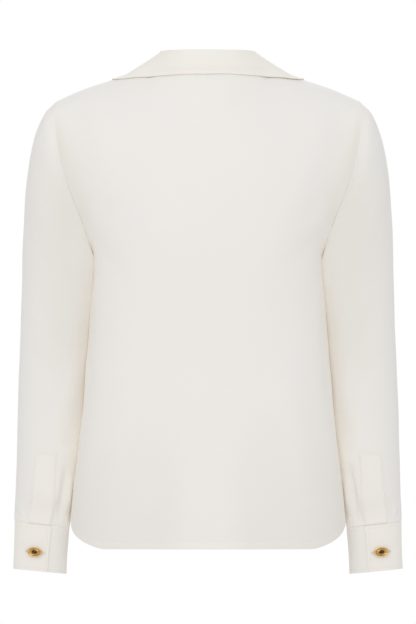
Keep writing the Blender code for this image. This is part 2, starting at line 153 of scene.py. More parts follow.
COLLAR = table(
    ("along", "fold_x", "fold_y", "fold_z", "edge_x", "edge_y", "edge_z", "sag"),
    (0, 0, 0.0605, 0.0358, 0, 0.069, 0.0045, 0),
    (0.35, 0.031, 0.0535, 0.0358, 0.046, 0.058, 0.005, 0),
    (0.7, 0.0532, 0.03, 0.0351, 0.085, 0.031, 0.002, 0.0005),
    (1, 0.0604, 0.002, 0.0324, 0.12, 0.01, -0.003, 0.0014),
    (1.25, 0.058, -0.028, 0.0186, 0.1225, -0.022, -0.012, 0.0008),
    (1.5, 0.0485, -0.072, -0.021, 0.115, -0.065, -0.05, 0),
    (1.75, 0.032, -0.107, -0.08, 0.102, -0.098, -0.108, 0),
    (2, 0.0125, -0.1195, -0.149, 0.074, -0.112, -0.172, 0),
)
FOLD_RADIUS = 0.0022
COLLAR_INSET = 0.0010
COLLAR_CLEAR = 0.0009

FRONT_PLACKET_TOP = 1.985
FRONT_PLACKET_FOOT = 0.87
FRONT_PLACKET_LIFT = 0.0012

# ---- sizes of the making

MM = 0.001
EDGE_RADIUS = 0.00015
SEAM_DEPTH = 0.0045
SEAM_LEAN = 0.0004
SEAM_PLY = 0.35
SEAM_PLY_REACH = 0.0095
SEAM_PUCKER = 0.0001
HEM_FOLD = 0.0008
HEM_BAND = 0.0070
HEM_LIFT = 0.00035
HEM_STEP = 0.0012
HEM_PUCKER = 0.00022
HEM_STITCH_PULL = 0.00028
HEM_STITCH_DIP = 0.0004
PUCKER_LENGTHS = (0.0069, 0.0093, 0.0151)
PUCKER_REACH = 0.007

STITCH_LENGTH = 0.0024
STITCH_GAP = 0.0008
STITCH_RADIUS = 0.00016
STITCH_LIFT = 0.0001
STITCH_DIP = 0.0005
THREAD_SIDES = 5
# Rings of a stitch: how far along it, its width and its drop, as shares
THREAD_RINGS = ((0, 0.5, 0.9), (0.18, 1, 0.15), (0.82, 1, 0.15), (1, 0.5, 0.9))
STRIP_CLOTH = 0.0009
STRIP_STITCH = 0.0024
STRIP_STITCH_PULL = 0.00018
STRIP_SWELL = 0.00022
STRIP_SWELL_AT = 0.0011
STRIP_SWELL_WIDTH = 0.0008
SLEEVE_STRIP_RADIUS = 0.00045
FRONT_STRIP_RADIUS = 0.0005

# The cloth's slow waves: their height, and each length with its share
RIPPLE = 0.0006
RIPPLES = ((0.190, 1.0), (0.120, 0.7), (0.074, 0.4), (0.046, 0.22), (0.029, 0.12))
CREASE_STEPS = 15
CREASE_CLEAR = 5
CREASE_END_POWER = 0.8
SWELL = 0.30
SWELL_AT = 1.9
SWELL_WIDTH = 1.3

# Rows of points beside a rounded edge and at the hem's stitches, in millimetres from the edge
EDGE_ROWS = (0.2, 0.45, 0.7, 1.1, 1.7, 2.5)
EDGE_CLEAR_ROWS = 3.2
HEM_ROWS = (4.9, 5.7, 6.2, 6.6, 7.1, 7.7)
QUARTER_STEPS = 161
ALL_EDGES = ("low", "right", "top", "left")
OPEN_TOP = ("left", "low", "right")


# ---- curves

def hermite(first, last, leaving, arriving, part):
    """The smooth curve between two values, with its slope at each of them."""
    rest = 1 - part
    return (first * (1 + 2 * part) * rest * rest + leaving * part * rest * rest
            + last * part * part * (3 - 2 * part) - arriving * part * part * rest)


def read(rows, column, key):
    """A smooth curve through one column, at values of the table's first column."""
    keys = next(iter(rows.values()))
    values = rows[column]
    slope = np.empty_like(values)
    slope[1:-1] = (values[2:] - values[:-2]) / (keys[2:] - keys[:-2])
    slope[0] = (values[1] - values[0]) / (keys[1] - keys[0])
    slope[-1] = (values[-1] - values[-2]) / (keys[-1] - keys[-2])
    key = np.clip(key, keys[0], keys[-1])
    place = np.clip(np.searchsorted(keys, key, side="left") - 1, 0, len(keys) - 2)
    span = keys[place + 1] - keys[place]
    return hermite(values[place], values[place + 1], slope[place] * span, slope[place + 1] * span,
                   (key - keys[place]) / span)


def mix(first, second, part):
    """The value part of the way from the first to the second."""
    return first * (1 - part) + second * part


def ease(part):
    """0 to 1 with level ends, held beyond them."""
    part = np.clip(part, 0.0, 1.0)
    return part * part * (3 - 2 * part)


def ramp(value, start, end):
    """0 up to the start and 1 from the end on, with level ends."""
    return ease((value - start) / (end - start))


def bell(value, middle, width):
    """1 at the middle, and less on both sides of it."""
    return np.exp(-((value - middle) / width) ** 2)


def points(x, y, z):
    """Arrays of x, y and z as one array of points."""
    return np.stack(np.broadcast_arrays(x, y, z), axis=-1)


def unit(vectors):
    """The vectors at length 1."""
    return vectors / np.maximum(np.linalg.norm(vectors, axis=-1, keepdims=True), 1e-12)


def quarter(half_width, depth, power, across):
    """A point on a rounded quarter section: the middle at across 0, the side at 1, evenly spaced."""
    turn = np.linspace(0, math.pi / 2, QUARTER_STEPS)
    power = 2 / power[..., None]
    sides = half_width[..., None] * np.sin(turn) ** power, depth[..., None] * np.abs(np.cos(turn)) ** power
    steps = [np.diff(side) for side in sides]
    run = np.cumsum(np.hypot(*steps), axis=-1)
    goal = (np.abs(across) * run[..., -1])[..., None]
    place = np.minimum((run < goal).sum(axis=-1), turn.size - 2)[..., None]
    step = np.hypot(*(np.take_along_axis(side, place, -1) for side in steps))
    part = np.clip(1 - (np.take_along_axis(run, place, -1) - goal) / step, 0, 1)
    return [mix(np.take_along_axis(side, place, -1), np.take_along_axis(side, place + 1, -1), part)[..., 0]
            for side in sides]


# ---- body panels

def ring_point(face, across, z):
    """A point of the body's level ring at a height, on its back or front face."""
    rings = [np.broadcast_to(read(BODY, name, z), np.broadcast(across, z).shape)
             for name in ("half_width", face, "power")]
    x, y = quarter(*rings, across)
    return points(np.copysign(x, across), y if face == "back" else -y, z)


def body_side(y, z):
    """How far the body's side reaches from the middle, at a depth and a height under the armhole."""
    z = np.minimum(z, UNDERARM_Z)
    depth = np.where(y > 0, read(BODY, "back", z), read(BODY, "front", z))
    power = read(BODY, "power", z)
    inside = np.maximum(0.0, 1 - (np.abs(y) / depth) ** power)
    return read(BODY, "half_width", z) * inside ** (1 / power)


def hem_height(across):
    """The hem is level in the middle and rises in a round corner to the side seam."""
    corner = np.maximum(0.0, 1 - (1 - np.abs(across)) / HEM_RISE_REACH)
    return HEM_Z + HEM_FOLD + HEM_RISE * corner ** HEM_RISE_POWER


def shoulder_line(part):
    """The shoulder seam, from the neck point (0) to the tip (1): hollow first, then full."""
    point = mix(NECK_POINT, SHOULDER_TIP, part[..., None])
    point[..., 2] += SHOULDER_CROWN * np.sin(math.pi * part) - SHOULDER_SWELL * np.sin(2 * math.pi * part)
    return point


def neck_line(face, part):
    """The neck seam on the wearer's left, from the middle (0) to the neck point (1)."""
    turn = math.pi / 2 * part
    if face == "back":
        drop = BACK_NECK[2] + (NECK_POINT[2] - BACK_NECK[2]) * (1 - np.cos(turn))
        return points(NECK_POINT[0] * np.sin(turn), BACK_NECK[1] * np.cos(turn), drop)
    point = mix(V_FOOT, NECK_POINT, np.sin(turn)[..., None])
    point[..., 1] = V_FOOT[1] * np.abs(np.cos(turn)) ** V_CHEST_POWER
    return point


def top_line(face, across):
    """The panel's top edge: the shoulder, the neck and, in front, the level foot of the V."""
    size = np.abs(across)
    shoulder = shoulder_line(np.clip((size - NECK_ACROSS) / (1 - NECK_ACROSS), 0, 1))
    if face == "back":
        neck = neck_line(face, np.clip(size / NECK_ACROSS, 0, 1))
    else:
        neck = neck_line(face, np.clip((size - FOOT_ACROSS) / (NECK_ACROSS - FOOT_ACROSS), 0, 1))
        foot = points(V_FOOT[0] * size / FOOT_ACROSS, V_FOOT[1], V_FOOT[2])
        neck = np.where(size[..., None] < FOOT_ACROSS, foot, neck)
    point = np.where(size[..., None] >= NECK_ACROSS, shoulder, neck)
    point[..., 0] = np.copysign(point[..., 0], across)
    return point


def armhole(face, up):
    """The armhole's edge on the wearer's left, from the underarm (0) to the shoulder tip (1)."""
    turn = math.pi * up
    z = mix(SHOULDER_TIP[2], UNDERARM_Z, (1 + np.cos(turn)) / 2)
    depth = ARMHOLE_DEPTH[face] * np.sin(turn)
    return points(read(ARMHOLE, "x", z), depth if face == "back" else -depth, z)


def soft_top(across):
    """The back's top edge with its corners at the neck points smoothed away."""
    return points(SHOULDER_TIP[0] * across, BACK_NECK[1] * bell(across, 0, SOFT_NECK),
                  mix(SOFT_NECK_Z, SHOULDER_TIP[2], across * across))


def rolled(face, across, up):
    """A column that stands on the underarm's ring and rolls over to the top edge.

    Down the back, the corners of the neck fade out under the top edge.
    """
    foot = ring_point(face, across, np.full_like(across, UNDERARM_Z))
    head = top_line(face, across)
    if face == "back":
        head = mix(soft_top(across), head, (up ** SOFT_POWER)[..., None])
    full = mix(ROLL_AT_CENTRE, ROLL_AT_SHOULDER, ease(np.abs(across) / NECK_ACROSS))
    turn = full * up
    rise = np.sin(turn) / np.sin(full)
    out = (np.cos(turn) - np.cos(full)) / (1 - np.cos(full))
    return points(mix(foot[..., 0], head[..., 0], rise), mix(head[..., 1], foot[..., 1], out),
                  mix(foot[..., 2], head[..., 2], rise))


def panel_cut(face, across, up):
    """Points of a panel's lower and upper parts, which meet at the underarm at a slight angle."""
    lower = ring_point(face, across, mix(hem_height(across), UNDERARM_Z, np.minimum(up, 1)))
    above = np.maximum(up - 1, 0)
    pull = armhole(face, above) - rolled(face, np.ones_like(across), above)
    pull[..., 0] *= np.sign(across)
    upper = rolled(face, across, above) + pull * (np.abs(across) ** ARMHOLE_PULL)[..., None]
    point = np.where(up[..., None] <= 1, lower, upper)
    gap = mix(SEAM_GAP, SHOULDER_GAP, above)
    point[..., 1] += gap / 2 if face == "back" else -gap / 2
    return point


def panel_point(face, across, up):
    """Points on the outer surface of the back or front panel.

    across runs from -1 to 1, and up from 0 at the hem through 1 at the underarm to 2 at the top.
    The angle at the underarm is rounded off, except at the side seams.
    """
    across, up = (np.array(side, float) for side in np.broadcast_arrays(across, up))
    point = panel_cut(face, across, up)
    near = np.abs(up - 1) < UNDERARM_BLEND
    if near.any():
        side = across[near]
        beyond = UNDERARM_BLEND + BLEND_STEP
        before, start, end, after = (panel_cut(face, side, np.full_like(side, 1 + place))
                                     for place in (-beyond, -UNDERARM_BLEND, UNDERARM_BLEND, beyond))
        part = ((up[near] - 1) / UNDERARM_BLEND / 2 + 0.5)[:, None]
        span = 2 * UNDERARM_BLEND / BLEND_STEP
        soft = hermite(start, end, (start - before) * span, (after - end) * span, part)
        point[near] = mix(soft, point[near], (np.abs(side) ** BLEND_SIDE_POWER)[:, None])
    return point


# ---- sleeves and cuffs

def sleeve_point(along, turn):
    """Points on the left sleeve: turn 0 is its outer side, 90 degrees its back, 180 its inner side."""
    along, turn = (np.array(side, float) for side in np.broadcast_arrays(along, turn))
    ring = {name: read(SLEEVE, name, along) for name in SLEEVE}
    inner_x = read(BODY, "half_width", ring["inner_z"]) - SLEEVE_PRESS * ease(along / PRESS_REACH)
    point = points(mix(ring["outer_x"], inner_x, (1 - np.cos(turn)) / 2),
                   ring["middle_y"] + ring["half_depth"] * np.sin(turn),
                   mix(ring["outer_z"], ring["inner_z"], (1 - np.cos(turn)) / 2))
    cap = 1 - ease(along / CAP_ENDS)
    part = 1 - np.abs(np.arctan2(np.sin(turn), np.cos(turn))) / math.pi
    behind = (np.sin(turn) >= 0)[..., None]
    seam = np.where(behind, armhole("back", part), armhole("front", part))
    low = np.array((ARMHOLE["x"][0], 0, UNDERARM_Z))
    plain = mix(SHOULDER_TIP, low, ((1 - np.cos(turn)) / 2)[..., None])
    plain[..., 1] = SLEEVE["half_depth"][0] * np.sin(turn)
    point += (seam - plain) * cap[..., None]
    point[..., 0] += 2 * SEAM_GAP + SHOULDER_GAP * (1 + np.cos(turn)) / 2
    near = body_side(point[..., 1], point[..., 2]) + BODY_CLEAR * ease(along / CLEAR_REACH) + SEAM_GAP
    point[..., 0] = np.where(point[..., 2] < UNDERARM_Z, np.maximum(point[..., 0], near), point[..., 0])
    return point


def sleeve_place(turn, z):
    """How far along the sleeve its surface reaches a height, at each turn."""
    low, high = np.zeros_like(turn), np.ones_like(turn)
    for _ in range(30):
        middle = (low + high) / 2
        above = sleeve_point(middle, turn)[..., 2] > z
        low = np.where(above, middle, low)
        high = np.where(above, high, middle)
    return low


def cuff_point(down, turn, out=0.0):
    """Points on the left cuff, from its top edge (down 0) to its foot (1), moved outwards."""
    down, turn, out = np.broadcast_arrays(down, turn, out)
    (outer_x, outer_z), (inner_x, inner_z) = (
        [mix(CUFF_TOP[side][place], CUFF_FOOT[side][place], down) for place in (0, 1)]
        for side in ("outer", "inner"))
    return points((outer_x + inner_x) / 2 + ((outer_x - inner_x) / 2 + out) * np.cos(turn),
                  mix(CUFF_TOP["y"], CUFF_FOOT["y"], down) + (CUFF_HALF_DEPTH + out) * np.sin(turn),
                  (outer_z + inner_z) / 2 + (outer_z - inner_z) / 2 * np.cos(turn))


def cuff_layer(turn):
    """How far out the cuff's band runs: the over end lies on the under end."""
    return CUFF_LAYER * (ramp(turn, CUFF_STEP_FROM, CUFF_STEP_TO) - 1)


# ---- grids of points

def spread(*marks):
    """Values from mark to mark: (start, end, steps), (end, steps) and so on."""
    (start, end, steps), *others = marks
    values = list(np.linspace(start, end, steps + 1))
    for end, steps in others:
        values += list(np.linspace(values[-1], end, steps + 1))[1:]
    return np.array(values)


def with_edges(values, low=None, high=None):
    """The values, closer together beside an end where a seam or a fold is rounded.

    low and high give how much one millimetre is there, in the values' own units.
    """
    for end, way, size in ((0, 1, low), (-1, -1, high)):
        if size:
            far = (values - values[end]) * way
            kept = values[(far == 0) | (far > EDGE_CLEAR_ROWS * size)]
            values = np.sort(np.append(kept, kept[end] + way * size * np.array(EDGE_ROWS)))
    return values


def tangents(grid, closed):
    """How the points change along the rows and along the columns."""
    if closed:
        around = np.concatenate((grid[:, -1:], grid, grid[:, :1]), axis=1)
        return (around[:, 2:] - around[:, :-2]) / 2, np.gradient(grid, axis=0)
    return np.gradient(grid, axis=1), np.gradient(grid, axis=0)


def normals(grid, side=1, closed=False):
    """The directions that stand on the surface, on its outer side."""
    return unit(np.cross(*tangents(grid, closed))) * side


def lengths(grid, axis=0):
    """How far each point of a grid or a path lies from the first one, along an axis."""
    steps = np.linalg.norm(np.diff(grid, axis=axis), axis=-1)
    pad = [(0, 0)] * steps.ndim
    pad[axis] = (1, 0)
    return np.cumsum(np.pad(steps, pad), axis=axis)


def edge_distance(grid, *edges):
    """Each point's distance from the nearest of a grid's edges, measured along its row or column."""
    found = []
    for edge in edges:
        axis = 1 if edge in ("left", "right") else 0
        if edge in ("right", "top"):
            found.append(np.flip(lengths(np.flip(grid, axis), axis), axis))
        else:
            found.append(lengths(grid, axis))
    return np.minimum.reduce(found)


def chart(grid):
    """How far each point lies across and up the cloth, in metres, from the middle of the first row."""
    across = lengths(grid, 1)
    middle = across[:, across.shape[1] // 2][:, None]
    return across - middle, lengths(grid, 0) + grid[:1, :, 2] - grid[0, 0, 2]


def mirrored(grid, side):
    """The points for the wearer's left (1), or for the right (-1)."""
    return grid * np.array((side, 1, 1))


def from_path(grid, outward, path):
    """Each point's distance to one side of a path of points, and how far along the path it is."""
    nearest = np.full(grid.shape[:2], np.inf)
    aside = np.zeros(grid.shape[:2])
    along = np.zeros(grid.shape[:2])
    for place, (start, end) in enumerate(zip(path, path[1:])):
        run = end - start
        part = np.clip(((grid - start) @ run) / (run @ run), 0, 1)
        away = grid - start - part[..., None] * run
        distance = np.linalg.norm(away, axis=-1)
        closer = distance < nearest
        sign = np.sign((away * np.cross(run, outward)).sum(axis=-1))
        nearest = np.where(closer, distance, nearest)
        aside = np.where(closer, distance * sign, aside)
        along = np.where(closer, (place + part) / (len(path) - 1), along)
    return aside, along


def creases(grid, outward, rows, place):
    """The offsets of soft troughs (a positive depth) and ridges (a negative one).

    Each crease runs from one place of the piece to another, bent sideways in its middle, with a
    low swell on both sides. lean moves the swell to one side. width and depth are in millimetres.
    """
    total = np.zeros(grid.shape[:2])
    part = np.linspace(0, 1, CREASE_STEPS)
    for a0, b0, a1, b1, bend, width, depth, lean in zip(*rows.values()):
        path = place(mix(a0, a1, part) + bend * 4 * part * (1 - part), mix(b0, b1, part))
        clear = CREASE_CLEAR * width * MM
        near = (grid > path.min(axis=0) - clear) & (grid < path.max(axis=0) + clear)
        if not near.all(axis=-1).any():
            continue
        aside, along = from_path(grid, outward, path)
        at = aside / (width * MM * (0.8 + 0.5 * along))
        swell = SWELL * ((1 + lean) * bell(at, SWELL_AT, SWELL_WIDTH)
                         + (1 - lean) * bell(at, -SWELL_AT, SWELL_WIDTH))
        inside = np.where((along > 0) & (along < 1), np.sin(math.pi * along) ** CREASE_END_POWER, 0)
        total += depth * MM * inside * (swell - bell(at, 0, 1))
    return total


def ripples(grid, size, seed=7):
    """Slow waves of the cloth: a few sines of unlike lengths, in directions drawn once."""
    draw = np.random.default_rng(seed)
    total = np.zeros(grid.shape[:-1])
    for length, part in RIPPLES:
        for _ in range(3):
            way = unit(draw.normal(size=3) * (1.0, 1.0, 0.55)) * 2 * math.pi / length
            total += part * np.sin(grid @ way + draw.uniform(0, 2 * math.pi))
    return total * size / 3


def puckers(distance, run, seed, size):
    """The small uneven waves that a row of stitches draws into the cloth beside it."""
    draw = np.random.default_rng(seed)
    wave = np.zeros_like(run)
    for length in PUCKER_LENGTHS:
        wave += np.sin(run * 2 * math.pi / length + draw.uniform(0, 2 * math.pi)
                       + 1.5 * np.sin(run * 2 * math.pi / (length * 5.3)))
    return size * wave / 2 * bell(distance, 0, PUCKER_REACH)


def rounded(distance, radius=EDGE_RADIUS):
    """How far the cloth turns down at a distance from its seam."""
    near = np.clip(1 - distance / radius, 0, 1)
    return -radius * (1 - np.sqrt(1 - near * near))


def turned_in(grid, outward, edge):
    """The grid with a seam allowance that turns in from one edge, leaning on its neighbour's."""
    line, next_line = {"left": (np.s_[:, :1], np.s_[:, 1:2]), "right": (np.s_[:, -1:], np.s_[:, -2:-1]),
                       "low": (np.s_[:1], np.s_[1:2]), "top": (np.s_[-1:], np.s_[-2:-1])}[edge]
    lean = unit(grid[line] - grid[next_line]) * SEAM_LEAN
    new = [grid[line] + lean - outward[line] * SEAM_DEPTH * part for part in (0.1, 1.0)]
    pieces = [grid] + new if edge in ("right", "top") else new[::-1] + [grid]
    return np.concatenate(pieces, axis=1 if edge in ("left", "right") else 0)


# ---- objects

def link(made):
    """The object, in the scene."""
    bpy.context.scene.collection.objects.link(made)
    return made


def solid(name, shape):
    """The object made from a bmesh, in the scene."""
    mesh = bpy.data.meshes.new(name)
    shape.to_mesh(mesh)
    shape.free()
    mesh.shade_smooth()
    return link(bpy.data.objects.new(name, mesh))


def rings(place, side):
    """The corners of the faces between neighbouring rows and columns of numbered points."""
    ring = np.stack((place[:-1, :-1], place[:-1, 1:], place[1:, 1:], place[1:, :-1]), axis=-1)
    return ring.reshape(-1, 4)[:, ::side].tolist()


def shell(name, grid, thickness, side=1, closed=False, ply=0.0, inside=0.0, painted_shade=0.0):
    """Cloth with its outer surface through the grid's points, and its thickness behind it.

    The material reads ply where the cloth is doubled, the share of painted shade that darkens its colour,
    and the point's place on the cloth, with inside to set each piece's place in the pattern apart.
    """
    rows, columns = grid.shape[:2]
    place = np.arange(rows * columns).reshape(rows, columns)
    if closed:
        place = np.hstack((place, place[:, :1]))
    mesh = bpy.data.meshes.new(name)
    mesh.from_pydata(grid.reshape(-1, 3).tolist(), [], rings(place, side))
    mesh.shade_smooth()
    where = mesh.attributes.new("cloth_place", "FLOAT_VECTOR", "POINT")
    where.data.foreach_set("vector", points(*chart(grid), inside).astype(np.float32).ravel())
    for layer, values in (("ply", ply), ("painted_shade", painted_shade)):
        values = np.broadcast_to(values, (rows, columns)).astype(np.float32)
        mesh.attributes.new(layer, "FLOAT", "POINT").data.foreach_set("value", values.ravel())
    made = link(bpy.data.objects.new(name, mesh))
    thick = made.modifiers.new("thickness", "SOLIDIFY")
    thick.thickness = thickness
    thick.offset = -1
    thick.use_quality_normals = True
    return made


def at_length(line, run, length):
    """The point of a line at a length along it."""
    return np.array([np.interp(length, run, line[:, axis]) for axis in range(3)])


def stitches(name, rows, side=1):
    """Rows of short threads that lie on the cloth. Each row is its points and its normals."""
    shape = bmesh.new()
    for row in rows:
        path, outward = (mirrored(line, side) for line in row)
        run = lengths(path)
        for start in np.arange(STITCH_GAP, run[-1] - STITCH_LENGTH, STITCH_LENGTH + STITCH_GAP):
            up = at_length(outward, run, start)
            thread(shape, at_length(path, run, start) + up * STITCH_LIFT,
                   at_length(path, run, start + STITCH_LENGTH) + up * STITCH_LIFT, up)
    return solid(name, shape)


def thread(shape, start, end, up):
    """One stitch: a thin rod, lower at both ends."""
    up = Vector(up).normalized()
    across = Vector(end - start).cross(up).normalized()
    rings = []
    for part, width, drop in THREAD_RINGS:
        middle = mix(Vector(start), Vector(end), part) - up * STITCH_RADIUS * drop
        turns = [2 * math.pi * place / THREAD_SIDES for place in range(THREAD_SIDES)]
        rings.append([shape.verts.new(middle + (across * math.cos(turn) + up * math.sin(turn))
                                      * STITCH_RADIUS * width) for turn in turns])
    for low, high in zip(rings, rings[1:]):
        for place in range(THREAD_SIDES):
            after = (place + 1) % THREAD_SIDES
            shape.faces.new((low[place], low[after], high[after], high[place]))
    shape.faces.new(rings[0][::-1])
    shape.faces.new(rings[-1])


# ---- the body's pieces

# Creases of the panels, from one place (across, up) to another
CREASE = ("a0", "b0", "a1", "b1", "bend", "width", "depth", "lean")
BACK_CREASES = table(
    CREASE,
    # hollows beside the armholes
    (0.885, 1.84, 0.88, 1.34, -0.02, 17, 3.6, -0.3),
    (-0.88, 1.82, -0.875, 1.32, 0.02, 17.5, 3.4, 0.3),
    (0.972, 1.9, 0.955, 1.4, 0, 5.5, -1.2, 0),
    (-0.972, 1.88, -0.955, 1.38, 0, 5.5, -1.2, 0),
    (0.93, 1.4, 0.52, 1.2, 0.03, 12, 0.8, 0.2),
    (-0.94, 1.44, -0.56, 1.16, -0.02, 13, 0.9, -0.2),
    (0.9, 1.22, 0.44, 0.86, 0.02, 11, 0.8, 0.4),
    (-0.91, 1.25, -0.38, 0.92, -0.03, 12, 0.9, -0.4),
    # under the collar
    (0.28, 1.99, 0.45, 1.78, 0.02, 12, 1, 0),
    (-0.3, 1.99, -0.42, 1.8, -0.02, 11, 1.1, 0),
    (0.05, 1.98, 0.14, 1.7, 0.01, 14, 0.5, 0),
    # down the middle and the lower part
    (0.01, 0.92, 0, 0.01, 0.02, 24, -1.6, 0),
    (0.34, 0.74, 0.42, 0.03, 0.04, 21, 1.7, 0.3),
    (-0.31, 0.68, -0.44, 0.02, -0.03, 22, 1.9, -0.3),
    (0.56, 0.6, 0.66, 0.05, 0.02, 16, 1.3, 0.5),
    (-0.59, 0.66, -0.68, 0.06, -0.03, 17, 1.2, -0.5),
    (0.14, 0.22, 0.2, 0, 0.01, 11, 0.6, 0),
    (-0.15, 0.26, -0.17, 0, -0.01, 12, 0.7, 0),
    # down the sides
    (0.9, 0.98, 0.84, 0.45, -0.02, 12, 1.4, 0),
    (-0.9, 0.95, -0.83, 0.4, 0.03, 12, 1.2, 0),
    (0.96, 0.72, 0.72, 0.52, 0.02, 9, 0.7, 0.3),
    (-0.97, 0.66, -0.7, 0.48, -0.02, 9, 0.8, -0.3),
)
FRONT_CREASES = table(
    CREASE,
    (0.88, 1.8, 0.86, 1.1, -0.03, 16, 3.6, -0.3),
    (-0.885, 1.82, -0.865, 1.12, 0.02, 17, 3.4, 0.3),
    (0.95, 1.16, 0.5, 1.1, 0.02, 10, 1.3, 0.3),
    (-0.95, 1.12, -0.46, 1.14, -0.02, 11, 1.4, -0.3),
    (0.95, 1, 0.4, 0.84, 0.03, 10, 1, 0.2),
    (-0.94, 1.02, -0.44, 0.8, -0.04, 10, 1.1, -0.2),
    (0.26, 1.2, 0.34, 0.55, 0.04, 19, 1.5, 0.3),
    (-0.24, 1.16, -0.33, 0.5, -0.03, 20, 1.6, -0.3),
    (0.11, 0.86, 0.16, 0.03, 0.02, 17, 1.4, 0.4),
    (-0.12, 0.84, -0.19, 0.02, -0.02, 18, 1.5, -0.4),
    (0.48, 0.8, 0.56, 0.03, 0.03, 19, 1.8, 0.3),
    (-0.46, 0.74, -0.58, 0.04, -0.04, 20, 1.7, -0.3),
    (0.9, 0.9, 0.8, 0.25, -0.02, 13, 1.4, 0.2),
    (-0.9, 0.96, -0.82, 0.3, 0.03, 12, 1.3, -0.2),
    (0.55, 1.86, 0.62, 1.5, 0.02, 12, 0.9, 0),
    (-0.54, 1.88, -0.64, 1.52, -0.02, 12, 1, 0),
)
PANEL_CREASES = {"back": BACK_CREASES, "front": FRONT_CREASES}
FACE_SIDES = {"back": -1, "front": 1}

# How far the cloth is darkened with painted shade: on the body beside the armholes (body) and low
# down (low), and on a sleeve's inner half (half) and inner side (edge)
PAINTED_SHADE_TABLE = table(
    ("z", "body", "low", "half", "edge"),
    (-0.615, 0, 0.5, 0, 0),
    (-0.56, 0, 0.45, 0, 0),
    (-0.5, 0, 0.28, 0, 0),
    (-0.47, 0, 0.15, 0, 0.1),
    (-0.43, 0, 0.05, 0.2, 0.8),
    (-0.39, 0, 0, 0.35, 0.75),
    (-0.345, 0, 0, 0.75, 0.15),
    (-0.239, 0, 0, 0.8, 0.1),
    (-0.205, 0.35, 0, 0.92, 0.12),
    (-0.17, 1.15, 0, 1, 0.2),
    (-0.11, 1.15, 0, 1, 0.2),
    (-0.08, 0.85, 0, 0.75, 0.2),
    (-0.05, 0.2, 0, 0.1, 0),
    (-0.035, 0, 0, 0, 0),
)
PAINTED_SHADE_REACH = 0.042
PAINTED_SHADE_LOW_ACROSS = (0.015, 0.060)
SIDE_FADE = 0.05
TOP_FADE = 0.06
# One millimetre, in the units of across and up, and of up at the top
ACROSS_MM = 0.0047
UP_MM = 0.0028
TOP_MM = 0.0041


def panel_relief(face, grid, outward, across, up):
    """How far a panel's creases and its slow waves, which fade at its seams, move it out."""
    fade = ease((1 - np.abs(across)) / SIDE_FADE) * ease((2 - up) / TOP_FADE)
    folds = creases(grid, outward, PANEL_CREASES[face], lambda a, b: panel_point(face, a, b))
    return (folds + ripples(grid, RIPPLE)) * fade


def panel(face):
    """The back or the front, with its hem turned up and its seams turned in."""
    half = with_edges(spread((0, FOOT_ACROSS, 5), (NECK_ACROSS, 24), (1, 48)), high=ACROSS_MM)
    across = np.concatenate((-half[:0:-1], half))
    up = with_edges(spread((0, 1, 140), (2, 100)), low=UP_MM, high=TOP_MM)
    up = np.sort(np.append(up, UP_MM * np.array(HEM_ROWS)))
    grid = panel_point(face, across[None, :], up[:, None])
    side = FACE_SIDES[face]
    outward = normals(grid, side)
    sides, top, hem = (edge_distance(grid, *edges) for edges in (("left", "right"), ("top",), ("low",)))
    across_run, z = lengths(grid, 1), grid[..., 2]
    # Painted shade beside the armholes, and low down away from the middle
    painted_shade = read(PAINTED_SHADE_TABLE, "body", z) * (1 - ease(sides / PAINTED_SHADE_REACH)) * (up[:, None] > 1)
    painted_shade += read(PAINTED_SHADE_TABLE, "low", z) * ramp(np.abs(grid[..., 0]), *PAINTED_SHADE_LOW_ACROSS)
    relief = panel_relief(face, grid, outward, across[None, :], up[:, None])
    relief += puckers(sides, lengths(grid), 11, SEAM_PUCKER) + puckers(top, across_run, 12, SEAM_PUCKER)
    relief += puckers(hem - HEM_BAND, across_run, 13, HEM_PUCKER)
    relief += rounded(sides) + rounded(top) + HEM_LIFT * ease((HEM_BAND - hem) / HEM_STEP)
    relief -= HEM_STITCH_PULL * bell(hem, HEM_BAND - HEM_STEP, HEM_STITCH_DIP)
    grid = grid + outward * relief[..., None]
    ply = np.maximum(hem < HEM_BAND + HEM_STITCH_DIP, SEAM_PLY * ease((SEAM_PLY_REACH - sides) / 0.001))
    before = len(grid)
    grid = hem_turned_up(grid, outward, hem)
    leaf = (len(grid) - before, 0), (0, 0)
    ply, painted_shade = np.pad(ply.astype(float), leaf, constant_values=1), np.pad(painted_shade, leaf)
    outward = np.pad(outward, (*leaf, (0, 0)), mode="edge")
    for edge, pad in (("left", ((0, 0), (2, 0))), ("right", ((0, 0), (0, 2))), ("top", ((0, 2), (0, 0)))):
        grid = turned_in(grid, outward, edge)
        ply, painted_shade = np.pad(ply, pad, mode="edge"), np.pad(painted_shade, pad, mode="edge")
        outward = np.pad(outward, (*pad, (0, 0)), mode="edge")
    return shell(f"{face}_cloth", grid, CLOTH, side, ply=ply, painted_shade=painted_shade)


def hem_turned_up(grid, outward, hem):
    """The grid with its hem's fold and the turned-up leaf behind it, as first rows."""
    down = unit(grid[:1] - grid[3:4])
    leaf = [grid[place:place + 1] - outward[place:place + 1] * 2 * HEM_FOLD
            for place in range(grid.shape[0]) if hem[place].mean() < HEM_BAND]
    bend = [grid[:1] - outward[:1] * HEM_FOLD * (1 - math.cos(turn)) + down * HEM_FOLD * math.sin(turn)
            for turn in map(math.radians, (150, 120, 90, 60, 30))]
    return np.concatenate(leaf[::-1] + bend + [grid])


# ---- the sleeves' pieces

